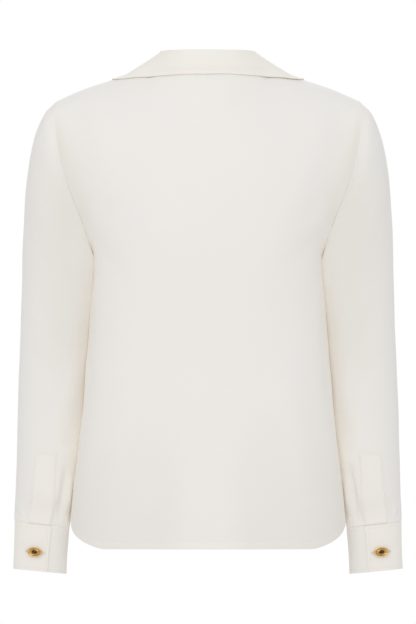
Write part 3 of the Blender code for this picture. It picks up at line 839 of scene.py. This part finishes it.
# Creases of the left sleeve, from one place (turn in degrees, along) to another
SLEEVE_CREASES = table(
    CREASE,
    # beside the armhole, and the hollow of the upper sleeve
    (52, 0.03, 152, 0.05, 0, 9, 1.3, 0.5),
    (60, 0.075, 134, 0.11, 0, 19, 3.4, 0.3),
    (96, 0.05, 128, 0.33, 8, 15, 2.2, -0.2),
    (150, 0.14, 142, 0.46, 6, 12, 1.4, 0.2),
    (208, 0.04, 300, 0.05, 0, 10, 1.4, 0.4),
    (236, 0.06, 222, 0.33, -6, 14, 1.9, 0.2),
    (18, 0.22, 40, 0.56, 5, 15, 0.8, 0.3),
    # round the elbow, deeper in front
    (58, 0.44, 138, 0.51, 0, 11, 0.7, 0.2),
    (44, 0.56, 118, 0.59, 0, 10, 0.6, -0.3),
    (192, 0.45, 292, 0.5, 0, 8, 1.7, 0.3),
    (186, 0.53, 276, 0.545, 0, 7.5, 2.1, -0.2),
    (200, 0.61, 305, 0.59, 0, 8.5, 1.5, 0.2),
    (236, 0.4, 318, 0.44, 0, 9, 1, 0),
    # down the forearm
    (108, 0.6, 136, 0.86, 5, 10, 1.1, 0.3),
    (248, 0.64, 262, 0.93, -6, 10, 1.4, 0.2),
    (332, 0.62, 318, 0.9, 8, 11, 1, -0.2),
    # pleats and pulls above the cuff
    (127, 0.79, 121, 1.01, 2, 5, 4.4, 0.6),
    (142, 0.83, 138, 1, 0, 5, -2, 0),
    (112, 0.75, 152, 0.8, 0, 11, -2, 0),
    (126, 0.59, 152, 0.74, 0, 13, 2.8, 0.2),
    (214, 0.86, 210, 1.02, -3, 4.2, 1.8, -0.4),
    (288, 0.88, 292, 1.02, 2, 4, 1.3, 0.3),
    (338, 0.85, 333, 1.01, -3, 4.6, 1.4, 0.3),
    (40, 0.992, 2, 0.958, 0, 3.4, 0.9, 0.4),
)
# Where each part of the sleeve's painted shade starts and is full, from its outer side inwards
PAINTED_SHADE_HALF = (0.05, 0.65)
PAINTED_SHADE_EDGE = (0.70, 0.95)
PAINTED_SHADE_INSIDE = (0.86, 0.96)
PAINTED_SHADE_INSIDE_LESS = 0.7
HEAD_FADE = 0.025
RIPPLE_END = (0.90, 0.98)
GATHERS_FROM = (0.90, 0.97)
GATHER = 0.00035
GATHERS = 19
RELIEF_END = (0.972, 0.998)
SLEEVE_FIT = (0.90, 0.985)
SLEEVE_TUCK = 0.9968
SLEEVE_LIFT = 0.0004
CUFF_SEAM_DEPTH = 0.00045
CUFF_SEAM_LAP = 0.012
ALONG_MM = 0.0019


def sleeve_foot(turn, down, lift):
    """The cuff's outline at a height: its outermost layer, moved outwards."""
    turn = np.mod(turn, 2 * math.pi)
    last = CUFF_OVER_END - 2 * math.pi
    layer = mix(cuff_layer(turn + 2 * math.pi), cuff_layer(turn), ramp(turn, last - 0.07, last))
    return cuff_point(down, turn, layer + lift)


def sleeve_surface(along, turn, side):
    """The sleeve's outer surface with its creases, and its outward directions, for one side.

    Above the cuff it narrows to the cuff's outline, and its last millimetre dips into the seam.
    """
    along, turn = np.broadcast_arrays(along, turn)
    grid = sleeve_point(along, turn)
    drop = ramp(along, SLEEVE_TUCK, 1.0) * (SLEEVE_LIFT + CUFF_SEAM_DEPTH)
    top, foot = (cuff_point(down, turn)[..., 2] for down in (0.0, 1.0))
    level = (grid[..., 2] - top) / (foot - top)
    grid = mix(grid, sleeve_foot(turn, level, SLEEVE_LIFT - drop), ramp(along, *SLEEVE_FIT)[..., None])
    outward = normals(grid, -1, closed=abs(turn[0, -1] - turn[0, 0]) > math.pi * 1.5)
    folds = creases(grid, outward, SLEEVE_CREASES, lambda a, b: sleeve_point(b, np.radians(a)))
    folds += ripples(mirrored(grid, side), RIPPLE) * (1 - ramp(along, *RIPPLE_END))
    gathers = np.sin(turn * GATHERS + 2 * np.sin(turn * 3)) * ramp(along, *GATHERS_FROM) * GATHER
    relief = (folds * ease(along / HEAD_FADE) + gathers) * (1 - ramp(along, *RELIEF_END))
    return grid + outward * relief[..., None], outward


def sleeve(word, side):
    """A sleeve, its head turned in at the armhole and its foot tucked into the cuff."""
    along = with_edges(spread((0, 0.9, 150), (1, 36)), low=ALONG_MM, high=ALONG_MM)[:, None]
    turn = np.linspace(-math.pi, math.pi, 113)[None, :-1]
    grid, outward = sleeve_surface(along, turn, side)
    head = edge_distance(grid, "low")
    relief = rounded(head) + puckers(head, lengths(grid, 1), 21, SEAM_PUCKER)
    grid = turned_in(grid + outward * relief[..., None], outward, "low")
    grid = np.concatenate((grid, sleeve_foot(turn, CUFF_SEAM_LAP, -CUFF_SEAM_DEPTH)))
    turned = np.arange(len(grid))[:, None] < 2
    inward, z = (1 - np.cos(turn)) / 2, grid[..., 2]
    # Painted shade over the sleeve's inner half and along its inner side
    half = ramp(inward, *PAINTED_SHADE_HALF) * (1 - PAINTED_SHADE_INSIDE_LESS * ramp(inward, *PAINTED_SHADE_INSIDE))
    painted_shade = read(PAINTED_SHADE_TABLE, "half", z) * half + read(PAINTED_SHADE_TABLE, "edge", z) * ramp(inward, *PAINTED_SHADE_EDGE)
    return shell(f"sleeve_{word}_cloth", mirrored(grid, side), CLOTH, -side, closed=True,
                 ply=turned, painted_shade=painted_shade)


def inset_path(grid, outward, inset, edges=ALL_EDGES):
    """A line of points that runs inside a grid's edges at one distance, and its directions."""
    left, low = edge_distance(grid, "left"), edge_distance(grid, "low")
    width, height = left[:, -1].mean(), low[-1].mean()
    rows = []
    for edge in edges:
        steps = np.linspace(0, 1, 60)
        level = np.full_like(steps, inset)
        across, rise = {
            "low": (mix(inset, width - inset, steps), level),
            "top": (mix(inset, width - inset, 1 - steps), height - level),
            "left": (level, mix(inset, height - inset, 1 - steps)),
            "right": (width - level, mix(inset, height - inset, steps))}[edge]
        rows.append([sample(values, left, low, across / width, rise / height) for values in (grid, outward)])
    path, up = (np.concatenate(part) for part in zip(*rows))
    return path, unit(up)


def sample(values, left, low, across, rise):
    """The values at shares of the grid's width and height."""
    rows, columns = values.shape[:2]
    middle_row, middle_column = rows // 2, columns // 2
    column = np.interp(across, left[middle_row] / left[middle_row, -1], np.arange(columns))
    row = np.interp(rise, low[:, middle_column] / low[-1, middle_column], np.arange(rows))
    column0 = np.clip(column.astype(int), 0, columns - 2)
    row0 = np.clip(row.astype(int), 0, rows - 2)
    part_column, part_row = (column - column0)[:, None], (row - row0)[:, None]
    low_side = mix(values[row0, column0], values[row0, column0 + 1], part_column)
    high_side = mix(values[row0 + 1, column0], values[row0 + 1, column0 + 1], part_column)
    return mix(low_side, high_side, part_row)


CUFF_EDGE = 0.00055
CUFF_STITCH = 0.0042
CUFF_STITCH_PULL = 0.00022
CUFF_RIPPLE = 0.0003
DOWN_MM = 0.0171
TURN_MM = 0.0325
CUFF_SLANT = 0.060
CUFF_CREASES = table(
    CREASE,
    # turn in degrees and down; pulls beside the button, and soft waves round the band
    (392, 0.5, 420, 0.6, 0, 5, 0.6, 0.3),
    (455, 0.55, 447, 0.66, 0, 4, 0.5, 0),
    (372, 0.05, 380, 0.8, 4, 9, 0.7, 0),
    (128, 0.1, 134, 0.9, 0, 8, -0.7, 0),
    (176, 0.1, 182, 0.95, 0, 9, 0.6, 0),
    (246, 0.05, 238, 0.95, 0, 10, 0.7, 0),
    (300, 0.1, 306, 0.9, 0, 10, -0.6, 0),
)


def cuff(word, side):
    """A stiff double band with rounded edges, and its rows of stitches."""
    down = with_edges(spread((0, 1, 34)), low=DOWN_MM, high=DOWN_MM)[:, None]
    turn = with_edges(spread((CUFF_UNDER_END, CUFF_OVER_END, 120)), low=TURN_MM, high=TURN_MM)[None, :]
    turn = turn - CUFF_SLANT * down * ramp(turn, CUFF_STEP_TO, CUFF_OVER_END)
    grid = cuff_point(down, turn, cuff_layer(turn))
    outward = normals(grid, -1)
    edges = edge_distance(grid, *ALL_EDGES)
    relief = rounded(edges, CUFF_EDGE) + ripples(mirrored(grid, side), CUFF_RIPPLE)
    relief += creases(grid, outward, CUFF_CREASES, lambda a, b: (
        cuff_point(b, np.radians(a), cuff_layer(np.radians(a)))))
    relief -= CUFF_STITCH_PULL * bell(edges, CUFF_STITCH, STITCH_DIP)
    grid = grid + outward * relief[..., None]
    made = shell(f"cuff_{word}_cloth", mirrored(grid, side), DOUBLE_CLOTH, -side, inside=0.4,
                 ply=ramp(turn, CUFF_STEP_FROM, CUFF_STEP_TO))
    return made, stitches(f"cuff_{word}_stitches", [inset_path(grid, outward, CUFF_STITCH)], side)


def strip_edge(edges, radius):
    """The edge of a laid strip: rounded, swollen over its turned-in hem, drawn down at its stitches."""
    return (rounded(edges, radius) + STRIP_SWELL * bell(edges, STRIP_SWELL_AT, STRIP_SWELL_WIDTH)
            - STRIP_STITCH_PULL * bell(edges, STRIP_STITCH, STITCH_DIP))


def sleeve_placket(word, side):
    """The strip over the sleeve's slit, laid on the sleeve's surface, and its stitches."""
    part = with_edges(spread((0, 1, 48)), low=0.011)[:, None]
    share = with_edges(spread((0, 1, 14)), low=0.040, high=0.040)[None, :]
    part, share = np.broadcast_arrays(part, share)
    first, last = (mix(PLACKET_TURNS_TOP[place], PLACKET_TURNS_FOOT[place], part) for place in (0, 1))
    turn = mix(first, last, share)
    grid, outward = sleeve_surface(mix(sleeve_place(turn, PLACKET_TOP_Z), PLACKET_FOOT, part), turn, side)
    relief = strip_edge(edge_distance(grid, *OPEN_TOP), SLEEVE_STRIP_RADIUS)
    relief += PLACKET_LIFT * (1 - 0.5 * ramp(part, 0.98, 1.0))
    grid = grid + outward * relief[..., None]
    name = f"sleeve_placket_{word}"
    made = shell(f"{name}_cloth", mirrored(grid, side), STRIP_CLOTH, -side, ply=1.0, inside=0.8)
    return made, stitches(f"{name}_stitches", [inset_path(grid, outward, STRIP_STITCH, OPEN_TOP)], side)


# ---- collar

COLLAR_SIDE = -1
COLLAR_CLOTH = 0.0007
COLLAR_EDGE = 0.00045
COLLAR_BULGE = 0.0006
COLLAR_HUG = (0.60, 0.95)
COLLAR_RIPPLE = 0.0004
COLLAR_SWELL = 0.00025
CALM_STAND = 0.03
CALM_EDGE = 0.02
LAID_REACH = 0.03
STAND_STEPS = 8
FOLD_STEPS = 9
LEAF_STEPS = 34
SMOOTHING = 6


def panels_tree():
    """Both body panels with their creases, as one surface that the collar is laid on."""
    corners, faces = [], []
    across, up = np.linspace(-1, 1, 97)[None, :], np.linspace(1, 2, 61)[:, None]
    for face, side in FACE_SIDES.items():
        grid = panel_point(face, across, up)
        outward = normals(grid, side)
        grid = grid + outward * panel_relief(face, grid, outward, across, up)[..., None]
        place = np.arange(grid[..., 0].size).reshape(grid.shape[:2]) + len(corners)
        faces += rings(place, side)
        corners += grid.reshape(-1, 3).tolist()
    return BVHTree.FromPolygons(corners, faces)


def laid(point, tree, hug=0.0):
    """The point, lifted off the panels where it is too close, or drawn down to them by a share."""
    seat, normal, _, _ = tree.find_nearest(Vector(point))
    gap = Vector(point) - seat
    if gap.length > LAID_REACH:
        return point
    share = 1.0 if gap.dot(normal) < COLLAR_CLEAR else hug
    return mix(point, np.array(seat + normal * COLLAR_CLEAR), share)


def collar_seam(along):
    """Where the collar starts, just inside the edge of the panels' neck, and its way out there."""
    behind = along <= 1
    face, part = ("back", along) if behind else ("front", 2 - along)
    across = NECK_ACROSS * along if behind else mix(FOOT_ACROSS, NECK_ACROSS, part)
    before, point, after = neck_line(face, np.array((max(part - 0.02, 0), part, min(part + 0.02, 1))))
    patch = panel_point(face, np.array((across - 0.004, across, across + 0.004))[None, :],
                        np.array((1.97, 1.98, 1.99))[:, None])
    outward = normals(patch, FACE_SIDES[face])[1, 1]
    away = unit(np.cross(outward, after - before))
    if away @ (point - patch[0, 1]) < 0:
        away = -away
    return point + away * COLLAR_INSET, outward


def collar_section(along, tree):
    """The collar's outer surface at one station: up the stand, round the fold, down the leaf."""
    seam, outward = collar_seam(along)
    fold, edge = (np.array([read(COLLAR, f"{line}_{axis}", along) for axis in "xyz"])
                  for line in ("fold", "edge"))
    rise = unit(fold - seam)
    out = edge - fold
    out = unit(out - rise * (out @ rise))
    middle = fold - rise * FOLD_RADIUS
    section = [seam - outward * SEAM_DEPTH, seam - outward * 0.001]
    section += [mix(seam, middle - out * FOLD_RADIUS, part) for part in np.linspace(0, 1, STAND_STEPS)[:-1]]
    section += [middle + (out * math.cos(turn) + rise * math.sin(turn)) * FOLD_RADIUS
                for turn in np.linspace(math.pi, 0, FOLD_STEPS)]
    leaf = section[-1]
    swell = COLLAR_BULGE - read(COLLAR, "sag", along)
    for part in np.linspace(0, 1, LEAF_STEPS + 1)[1:]:
        point = mix(leaf, edge, part) + out * swell * math.sin(math.pi * part)
        section.append(laid(point, tree, ramp(part, *COLLAR_HUG)))
    return section


def smoothed(grid, start, tree):
    """The grid with the rows from start on evened out, and still clear of the panels."""
    for _ in range(SMOOTHING):
        even = grid.copy()
        even[1:-1, 1:-1] = (grid[1:-1, 1:-1] * 2 + grid[:-2, 1:-1] + grid[2:, 1:-1]
                            + grid[1:-1, :-2] + grid[1:-1, 2:]) / 6
        even[-1, 1:-1] = (grid[-1, 1:-1] * 2 + grid[-1, :-2] + grid[-1, 2:]) / 4
        leaf = [[laid(point, tree) for point in row] for row in even[start:]]
        grid = np.concatenate((grid[:start], leaf))
    return grid


def collar():
    """Stand, fold and leaf in one piece, from one front end round the neck to the other."""
    tree = panels_tree()
    stations = with_edges(spread((0, 1, 40), (2, 60)), high=0.006)
    half = np.stack([np.stack(collar_section(along, tree)) for along in stations], axis=1)
    grid = np.concatenate((mirrored(half[:, :0:-1], -1), half), axis=1)
    grid = smoothed(grid, 1 + STAND_STEPS + FOLD_STEPS, tree)
    outward = normals(grid, COLLAR_SIDE)
    edges = edge_distance(grid, "left", "right", "top")
    calm = ease(edge_distance(grid, "low") / CALM_STAND) * mix(0.2, 1.0, ease(edges / CALM_EDGE))
    relief = rounded(edges, COLLAR_EDGE) + ripples(grid, COLLAR_RIPPLE) * calm
    relief += COLLAR_SWELL * bell(edges, 0.0022, 0.0014)
    grid = grid + outward * relief[..., None]
    return shell("collar_cloth", grid, COLLAR_CLOTH, COLLAR_SIDE, ply=1.0, inside=1.2)


# ---- front placket, buttons

def front_placket():
    """The strip under the V, laid on the front's surface, and its stitches."""
    up = with_edges(spread((FRONT_PLACKET_FOOT, FRONT_PLACKET_TOP, 70)), low=0.0035, high=0.0041)[:, None]
    across = with_edges(spread((-FOOT_ACROSS, FOOT_ACROSS, 18)), low=ACROSS_MM, high=ACROSS_MM)[None, :]
    base = panel_point("front", across, up)
    outward = normals(base)
    relief = panel_relief("front", base, outward, across, up) + FRONT_PLACKET_LIFT
    relief += strip_edge(edge_distance(base, *ALL_EDGES), FRONT_STRIP_RADIUS)
    grid = base + outward * relief[..., None]
    made = shell("front_placket_cloth", grid, STRIP_CLOTH, ply=1.0, inside=1.6)
    lower = slice(0, 22)
    return made, stitches("front_placket_stitches", [
        inset_path(grid, outward, STRIP_STITCH, OPEN_TOP),
        inset_path(grid[lower], outward[lower], STRIP_STITCH, ("top",))])


# The button's outline from its middle over the rim to its back, in millimetres
BUTTON = table(("place", "radius", "height"), *((place, *point) for place, point in enumerate((
    (0.0, 3.00), (1.2, 2.97), (2.4, 2.85), (3.6, 2.60), (4.6, 2.22), (5.3, 1.90), (5.9, 1.82), (6.6, 2.05),
    (7.3, 2.70), (8.0, 3.40), (8.6, 3.70), (9.2, 3.60), (9.7, 3.00), (10.0, 2.10), (9.9, 1.20), (9.4, 0.50),
    (8.6, 0.10)))))
BUTTON_RADIUS = 0.0100
BUTTON_OVAL = 0.62
BUTTON_GAP = 0.0004
BUTTON_SIDES = 64
CUFF_BUTTON_TURN = math.radians(76.5)
CUFF_BUTTON_DOWN = 0.59
FRONT_BUTTONS = (1.72, 1.08)
HOLE_HALF = 0.0115
HOLE_THREADS = (0.0003, 0.0014)
HOLE_BAR = 0.0121
HOLE_BAR_HALF = 0.0018


def button(name, seat, normal, along):
    """A turned disc with a raised rim and a domed middle, drawn out to an oval."""
    place = np.linspace(0, BUTTON["place"][-1], 52)
    radius, height = (read(BUTTON, column, place) * MM for column in ("radius", "height"))
    shape = bmesh.new()
    profile = [shape.verts.new((float(r), 0, float(h))) for r, h in zip(radius, height)]
    profile.append(shape.verts.new((0, 0, 0)))
    for first, second in zip(profile, profile[1:]):
        shape.edges.new((first, second))
    bmesh.ops.spin(shape, geom=shape.verts[:] + shape.edges[:], angle=2 * math.pi, steps=BUTTON_SIDES,
                   axis=(0, 0, 1), cent=(0, 0, 0), use_merge=True)
    bmesh.ops.remove_doubles(shape, verts=shape.verts[:], dist=0.00001)
    bmesh.ops.recalc_face_normals(shape, faces=shape.faces[:])
    made = solid(name, shape)
    mesh = made.data
    mesh.set_sharp_from_angle(angle=math.radians(50))
    out = mesh.attributes.new("from_middle", "FLOAT", "POINT")
    shares = [math.hypot(vert.co.x, vert.co.y) / BUTTON_RADIUS for vert in mesh.vertices]
    out.data.foreach_set("value", shares)
    normal = Vector(normal).normalized()
    across = normal.cross(Vector(along)).normalized()
    facing = Matrix((across.cross(normal).normalized(), across, normal)).transposed().to_4x4()
    stretch = Matrix.Diagonal((1.0, BUTTON_OVAL, 1.0, 1.0))
    mesh.transform(Matrix.Translation(Vector(seat) + normal * BUTTON_GAP) @ facing @ stretch)
    return made


def patch_of(place, a, b, step_a, step_b):
    """A point of a surface, its outward direction (up to sign) and its direction across."""
    grid = place(np.array((a - step_a, a, a + step_a))[None, :],
                 np.array((b - step_b, b, b + step_b))[:, None])
    return grid[1, 1], normals(grid)[1, 1], unit(grid[1, 2] - grid[1, 0])


def buttonhole(name, seat, normal, along, lift):
    """A slit's two rows of close threads, with a bar at each end."""
    normal, along = unit(np.array(normal)), unit(np.array(along))
    across = unit(np.cross(normal, along))
    seat = seat + normal * lift
    shape = bmesh.new()
    for place in np.linspace(-HOLE_HALF, HOLE_HALF, 58):
        for side in (-1, 1):
            start, end = (seat + along * place + across * side * reach for reach in HOLE_THREADS)
            thread(shape, start, end, normal)
    for bar in (-HOLE_BAR, HOLE_BAR):
        for place in np.linspace(-0.0005, 0.0005, 4):
            middle = seat + along * (bar + place)
            thread(shape, middle - across * HOLE_BAR_HALF, middle + across * HOLE_BAR_HALF, normal)
    return solid(name, shape)


def cuff_fastening(word, side):
    """The button and the buttonhole on the over end of a cuff."""
    seat, normal, along = (mirrored(part, side) for part in patch_of(
        lambda a, b: cuff_point(b, a), CUFF_BUTTON_TURN + 2 * math.pi, CUFF_BUTTON_DOWN, 0.02, 0.02))
    if normal[1] < 0:
        normal = -normal
    made = button(f"cuff_button_{word}_gold", seat, normal, along)
    return made, buttonhole(f"cuff_{word}_buttonhole", seat, normal, along, 0.00005)


def front_fastening(number, up):
    """A button and its buttonhole on the front placket."""
    seat, normal, _ = patch_of(lambda a, b: panel_point("front", a, b), 0.0, up, 0.01, 0.005)
    lift = FRONT_PLACKET_LIFT + 0.0002
    made = button(f"front_button_{number}_gold", seat + normal * lift, normal, np.array((1.0, 0, 0)))
    run = unit(np.cross(normal, (1.0, 0, 0)))
    return made, buttonhole(f"front_placket_buttonhole_{number}", seat, normal, run, lift)


# ---- materials

IVORY = (0.956, 0.933, 0.896, 1.0)
IVORY_DOUBLE = (0.980, 0.946, 0.886, 1.0)
# The ivory under painted shade
IVORY_IN_PAINTED_SHADE = (0.880, 0.852, 0.800, 1.0)
TONE_SHIFT = 0.025
THREAD = (0.90, 0.87, 0.82, 1.0)
GOLD = (0.86, 0.60, 0.27, 1.0)
# Gold darkened with painted shade, for the groove round the dome
GOLD_IN_PAINTED_SHADE = (0.60, 0.39, 0.15, 1.0)
# A near-black brown painted on the dome as a dark reflection
DOME_PAINTED_REFLECTION = (0.10, 0.062, 0.034, 1.0)
DOME_SPAN = (0.34, 0.46)
GROOVE_SPAN = (0.58, 0.72)
FLOOR_TONES = ((0.86, 0.86, 0.855, 1.0), (0.90, 0.90, 0.895, 1.0))


def new_material(name):
    """An empty node material: its node tree and its shader."""
    made = bpy.data.materials.new(name)
    made.use_nodes = True
    return made, made.node_tree, made.node_tree.nodes["Principled BSDF"]


def connect(tree, made, **inputs):
    """Sets a node's numbers and links its sockets, by name (_ for a space) or by place (_0)."""
    for name, value in inputs.items():
        socket = made.inputs[int(name[1:])] if name[1:].isdigit() else made.inputs[name.replace("_", " ")]
        if isinstance(value, bpy.types.NodeSocket):
            tree.links.new(value, socket)
        else:
            socket.default_value = value


def node(tree, kind, settings=(), **inputs):
    """A node with its settings, its numbers set and its sockets linked."""
    made = tree.nodes.new(f"ShaderNode{kind}")
    for name, value in dict(settings).items():
        setattr(made, name, value)
    connect(tree, made, **inputs)
    return made


def attribute(tree, name, output="Fac"):
    """The values that a piece's mesh holds under a name."""
    return node(tree, "Attribute", {"attribute_name": name}).outputs[output]


def noise(tree, where, scale, detail=2.0, roughness=0.5):
    """Cloudy noise at a scale."""
    return node(tree, "TexNoise", Vector=where, Scale=scale, Detail=detail,
                Roughness=roughness).outputs["Fac"]


def threads(tree, where, direction, scale, distortion):
    """The waves of one set of a weave's threads."""
    return node(tree, "TexWave", {"wave_type": "BANDS", "bands_direction": direction}, Vector=where,
                Scale=scale, Distortion=distortion, Detail=1.0, Detail_Scale=1.0).outputs["Fac"]


def plus(tree, first, second):
    """The sum of two values or sockets."""
    return node(tree, "Math", {"operation": "ADD"}, _0=first, _1=second).outputs[0]


def times(tree, first, second):
    """The product of two values or sockets."""
    return node(tree, "Math", {"operation": "MULTIPLY"}, _0=first, _1=second).outputs[0]


def step_up(tree, value, start, end):
    """0 up to the start and 1 from the end on, with level ends."""
    return node(tree, "MapRange", {"interpolation_type": "SMOOTHSTEP"}, Value=value, From_Min=start,
                From_Max=end).outputs[0]


def blend_colours(tree, share, first, second):
    """The colour between two colours at a share."""
    return node(tree, "Mix", {"data_type": "RGBA"}, _0=share, _6=first, _7=second).outputs[2]


def bump(tree, strength, distance, height):
    """The normals of a fine relief."""
    return node(tree, "Bump", Strength=strength, Distance=distance, Height=height).outputs[0]


def darker(colour, share):
    """The colour at a share of its brightness."""
    return tuple(side * share for side in colour[:3]) + (1.0,)


def cloth_material():
    """Ivory crepe: a fine plain weave with a pebbled grain, slow shifts of tone, painted shade where a piece
    holds it, and a soft sheen.
    """
    made, tree, shader = new_material("ivory_crepe")
    where = attribute(tree, "cloth_place", "Vector")
    weave = plus(tree, threads(tree, where, "X", 420.0, 1.2), threads(tree, where, "Y", 390.0, 1.4))
    grain = noise(tree, where, 900.0, 3.0, 0.6)
    slub = noise(tree, node(tree, "Mapping", Vector=where, Scale=(1.0, 0.16, 1.0)).outputs[0], 420.0)
    tone = noise(tree, where, 14.0, 3.0, 0.55)
    height = plus(tree, times(tree, weave, 0.25), times(tree, grain, 0.55))
    height = plus(tree, height, times(tree, slub, 0.35))
    plain = blend_colours(tree, attribute(tree, "ply"), IVORY, IVORY_DOUBLE)
    # Painted shade: the colour is drawn towards the shaded ivory by each point's share of painted shade
    colour = blend_colours(tree, attribute(tree, "painted_shade"), plain, IVORY_IN_PAINTED_SHADE)
    shift = plus(tree, times(tree, tone, 0.7), times(tree, height, 0.25))
    shift = plus(tree, times(tree, shift, TONE_SHIFT), 1 - TONE_SHIFT / 2)
    connect(tree, shader, Normal=bump(tree, 0.35, 0.00012, height),
            Base_Color=node(tree, "VectorMath", {"operation": "SCALE"}, _0=colour, Scale=shift).outputs[0],
            Roughness=plus(tree, 0.62, times(tree, grain, 0.14)), Specular_IOR_Level=0.3,
            Sheen_Weight=0.18, Sheen_Roughness=0.45, Sheen_Tint=(1.0, 0.985, 0.96, 1.0))
    return made


def thread_material():
    """Sewing thread of the cloth's colour, twisted and a little glossier."""
    made, tree, shader = new_material("ivory_thread")
    twist = noise(tree, node(tree, "TexCoord").outputs["Object"], 2600.0)
    connect(tree, shader, Base_Color=blend_colours(tree, twist, darker(THREAD, 0.90), THREAD),
            Normal=bump(tree, 0.5, 0.00006, twist), Roughness=0.5, Sheen_Weight=0.15)
    return made


def gold_material():
    """Polished gold-coloured metal: a bright rim, a groove darkened with painted shade and a domed middle
    painted near-black as a painted reflection.
    """
    made, tree, shader = new_material("polished_gold")
    from_middle = attribute(tree, "from_middle")
    scuffs = noise(tree, node(tree, "TexCoord").outputs["Object"], 700.0, 4.0, 0.7)
    # Painted shade: the groove round the dome takes the darker gold
    rim = blend_colours(tree, step_up(tree, from_middle, *GROOVE_SPAN), GOLD_IN_PAINTED_SHADE, GOLD)
    rim = blend_colours(tree, times(tree, scuffs, 0.3), rim, darker(GOLD, 0.93))
    # Painted reflection: the domed middle takes a near-black brown
    connect(tree, shader, Base_Color=blend_colours(tree, step_up(tree, from_middle, *DOME_SPAN), DOME_PAINTED_REFLECTION, rim),
            Roughness=plus(tree, 0.12, times(tree, scuffs, 0.12)), Normal=bump(tree, 0.12, 0.00005, scuffs),
            Metallic=1.0)
    return made


# ---- stage

WORLD_LIGHT = 0.715
CAMERA_DISTANCE = 22.0
FRAME_HEIGHT = 0.811
MIDDLE_Z = -0.304
SENSOR = 36.0
FLOOR_Z = -1.35
FLOOR_RADIUS = 7.0
LIGHT_SIZE = (1.9, 1.9)
LIGHT_POWER = 20.0
LIGHT_TARGET = (0.0, 0.0, -0.3)


def area_light(name, place):
    """A large soft light that faces the blouse."""
    data = bpy.data.lights.new(name, "AREA")
    data.shape = "RECTANGLE"
    data.size, data.size_y = LIGHT_SIZE
    data.energy = LIGHT_POWER
    made = link(bpy.data.objects.new(name, data))
    made.location = place
    made.rotation_euler = (Vector(LIGHT_TARGET) - Vector(place)).to_track_quat("-Z", "Y").to_euler()
    made.visible_camera = False


def world():
    """White all round, a little dimmer as a light than as a background."""
    made = bpy.data.worlds.new("white_room")
    made.use_nodes = True
    tree = made.node_tree
    seen = node(tree, "LightPath").outputs["Is Camera Ray"]
    connect(tree, tree.nodes["Background"], Color=(1.0, 1.0, 1.0, 1.0),
            Strength=plus(tree, times(tree, seen, 1 - WORLD_LIGHT), WORLD_LIGHT))
    bpy.context.scene.world = made


def floor():
    """A plain pale floor, well below the blouse."""
    shape = bmesh.new()
    bmesh.ops.create_circle(shape, cap_ends=True, segments=96, radius=FLOOR_RADIUS)
    made = solid("floor", shape)
    made.location.z = FLOOR_Z
    material, tree, shader = new_material("pale_floor")
    cloud = noise(tree, node(tree, "TexCoord").outputs["Object"], 3.0)
    connect(tree, shader, Base_Color=blend_colours(tree, cloud, *FLOOR_TONES), Roughness=0.85)
    made.data.materials.append(material)


def camera():
    """Straight behind the blouse and level, from far off."""
    data = bpy.data.cameras.new("camera")
    data.sensor_width = SENSOR
    data.lens = SENSOR * CAMERA_DISTANCE / FRAME_HEIGHT
    data.clip_end = 200.0
    made = link(bpy.data.objects.new("camera", data))
    made.location = (0.0, CAMERA_DISTANCE, MIDDLE_Z)
    made.rotation_euler = (math.radians(90), 0.0, math.radians(180))
    bpy.context.scene.camera = made


def stage():
    """Camera, lights, white room and floor."""
    camera()
    world()
    area_light("softbox_behind", (0.3, 3.0, 1.3))
    area_light("softbox_before", (-0.3, -3.0, 1.3))
    floor()
    bpy.context.scene.view_settings.view_transform = "Standard"
    bpy.context.scene.cycles.max_bounces = 24
    bpy.context.scene.cycles.diffuse_bounces = 16


# ---- the blouse

CLOTH_LOOK = cloth_material()
THREAD_LOOK = thread_material()
GOLD_LOOK = gold_material()


def finish(piece, look, slot, *nodes):
    """The piece gets its material, moves with the body and stands for its CAD nodes. slot is not used."""
    piece.data.materials.append(look)
    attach(piece, "root")
    if nodes:
        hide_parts(*nodes)


def finish_cloth(made, part):
    """The looks of a cloth piece that stands for a CAD node, and of its stitches."""
    piece, line = made
    finish(piece, CLOTH_LOOK, "cloth", part)
    finish(line, THREAD_LOOK, "cloth")
    return piece, line


def finish_button(made, part):
    """The looks of a button that stands for a CAD node, and of its buttonhole."""
    piece, hole = made
    finish(piece, GOLD_LOOK, "button", part)
    finish(hole, THREAD_LOOK, "cloth")


def build():
    """All the pieces of the blouse."""
    for face in ("back", "front"):
        piece = panel(face)
        finish(piece, CLOTH_LOOK, "cloth", face)
    piece = collar()
    finish(piece, CLOTH_LOOK, "cloth", "collar")
    piece, line = finish_cloth(front_placket(), "front_placket")
    for number, up in enumerate(FRONT_BUTTONS, 1):
        finish_button(front_fastening(number, up), f"front_button_{number}")
    for word, side in (("left", 1), ("right", -1)):
        piece = sleeve(word, side)
        finish(piece, CLOTH_LOOK, "cloth", f"sleeve_{word}")
        piece, line = finish_cloth(cuff(word, side), f"cuff_{word}")
        piece, line = finish_cloth(sleeve_placket(word, side), f"sleeve_placket_{word}")
        finish_button(cuff_fastening(word, side), f"cuff_button_{word}")


build()
stage()
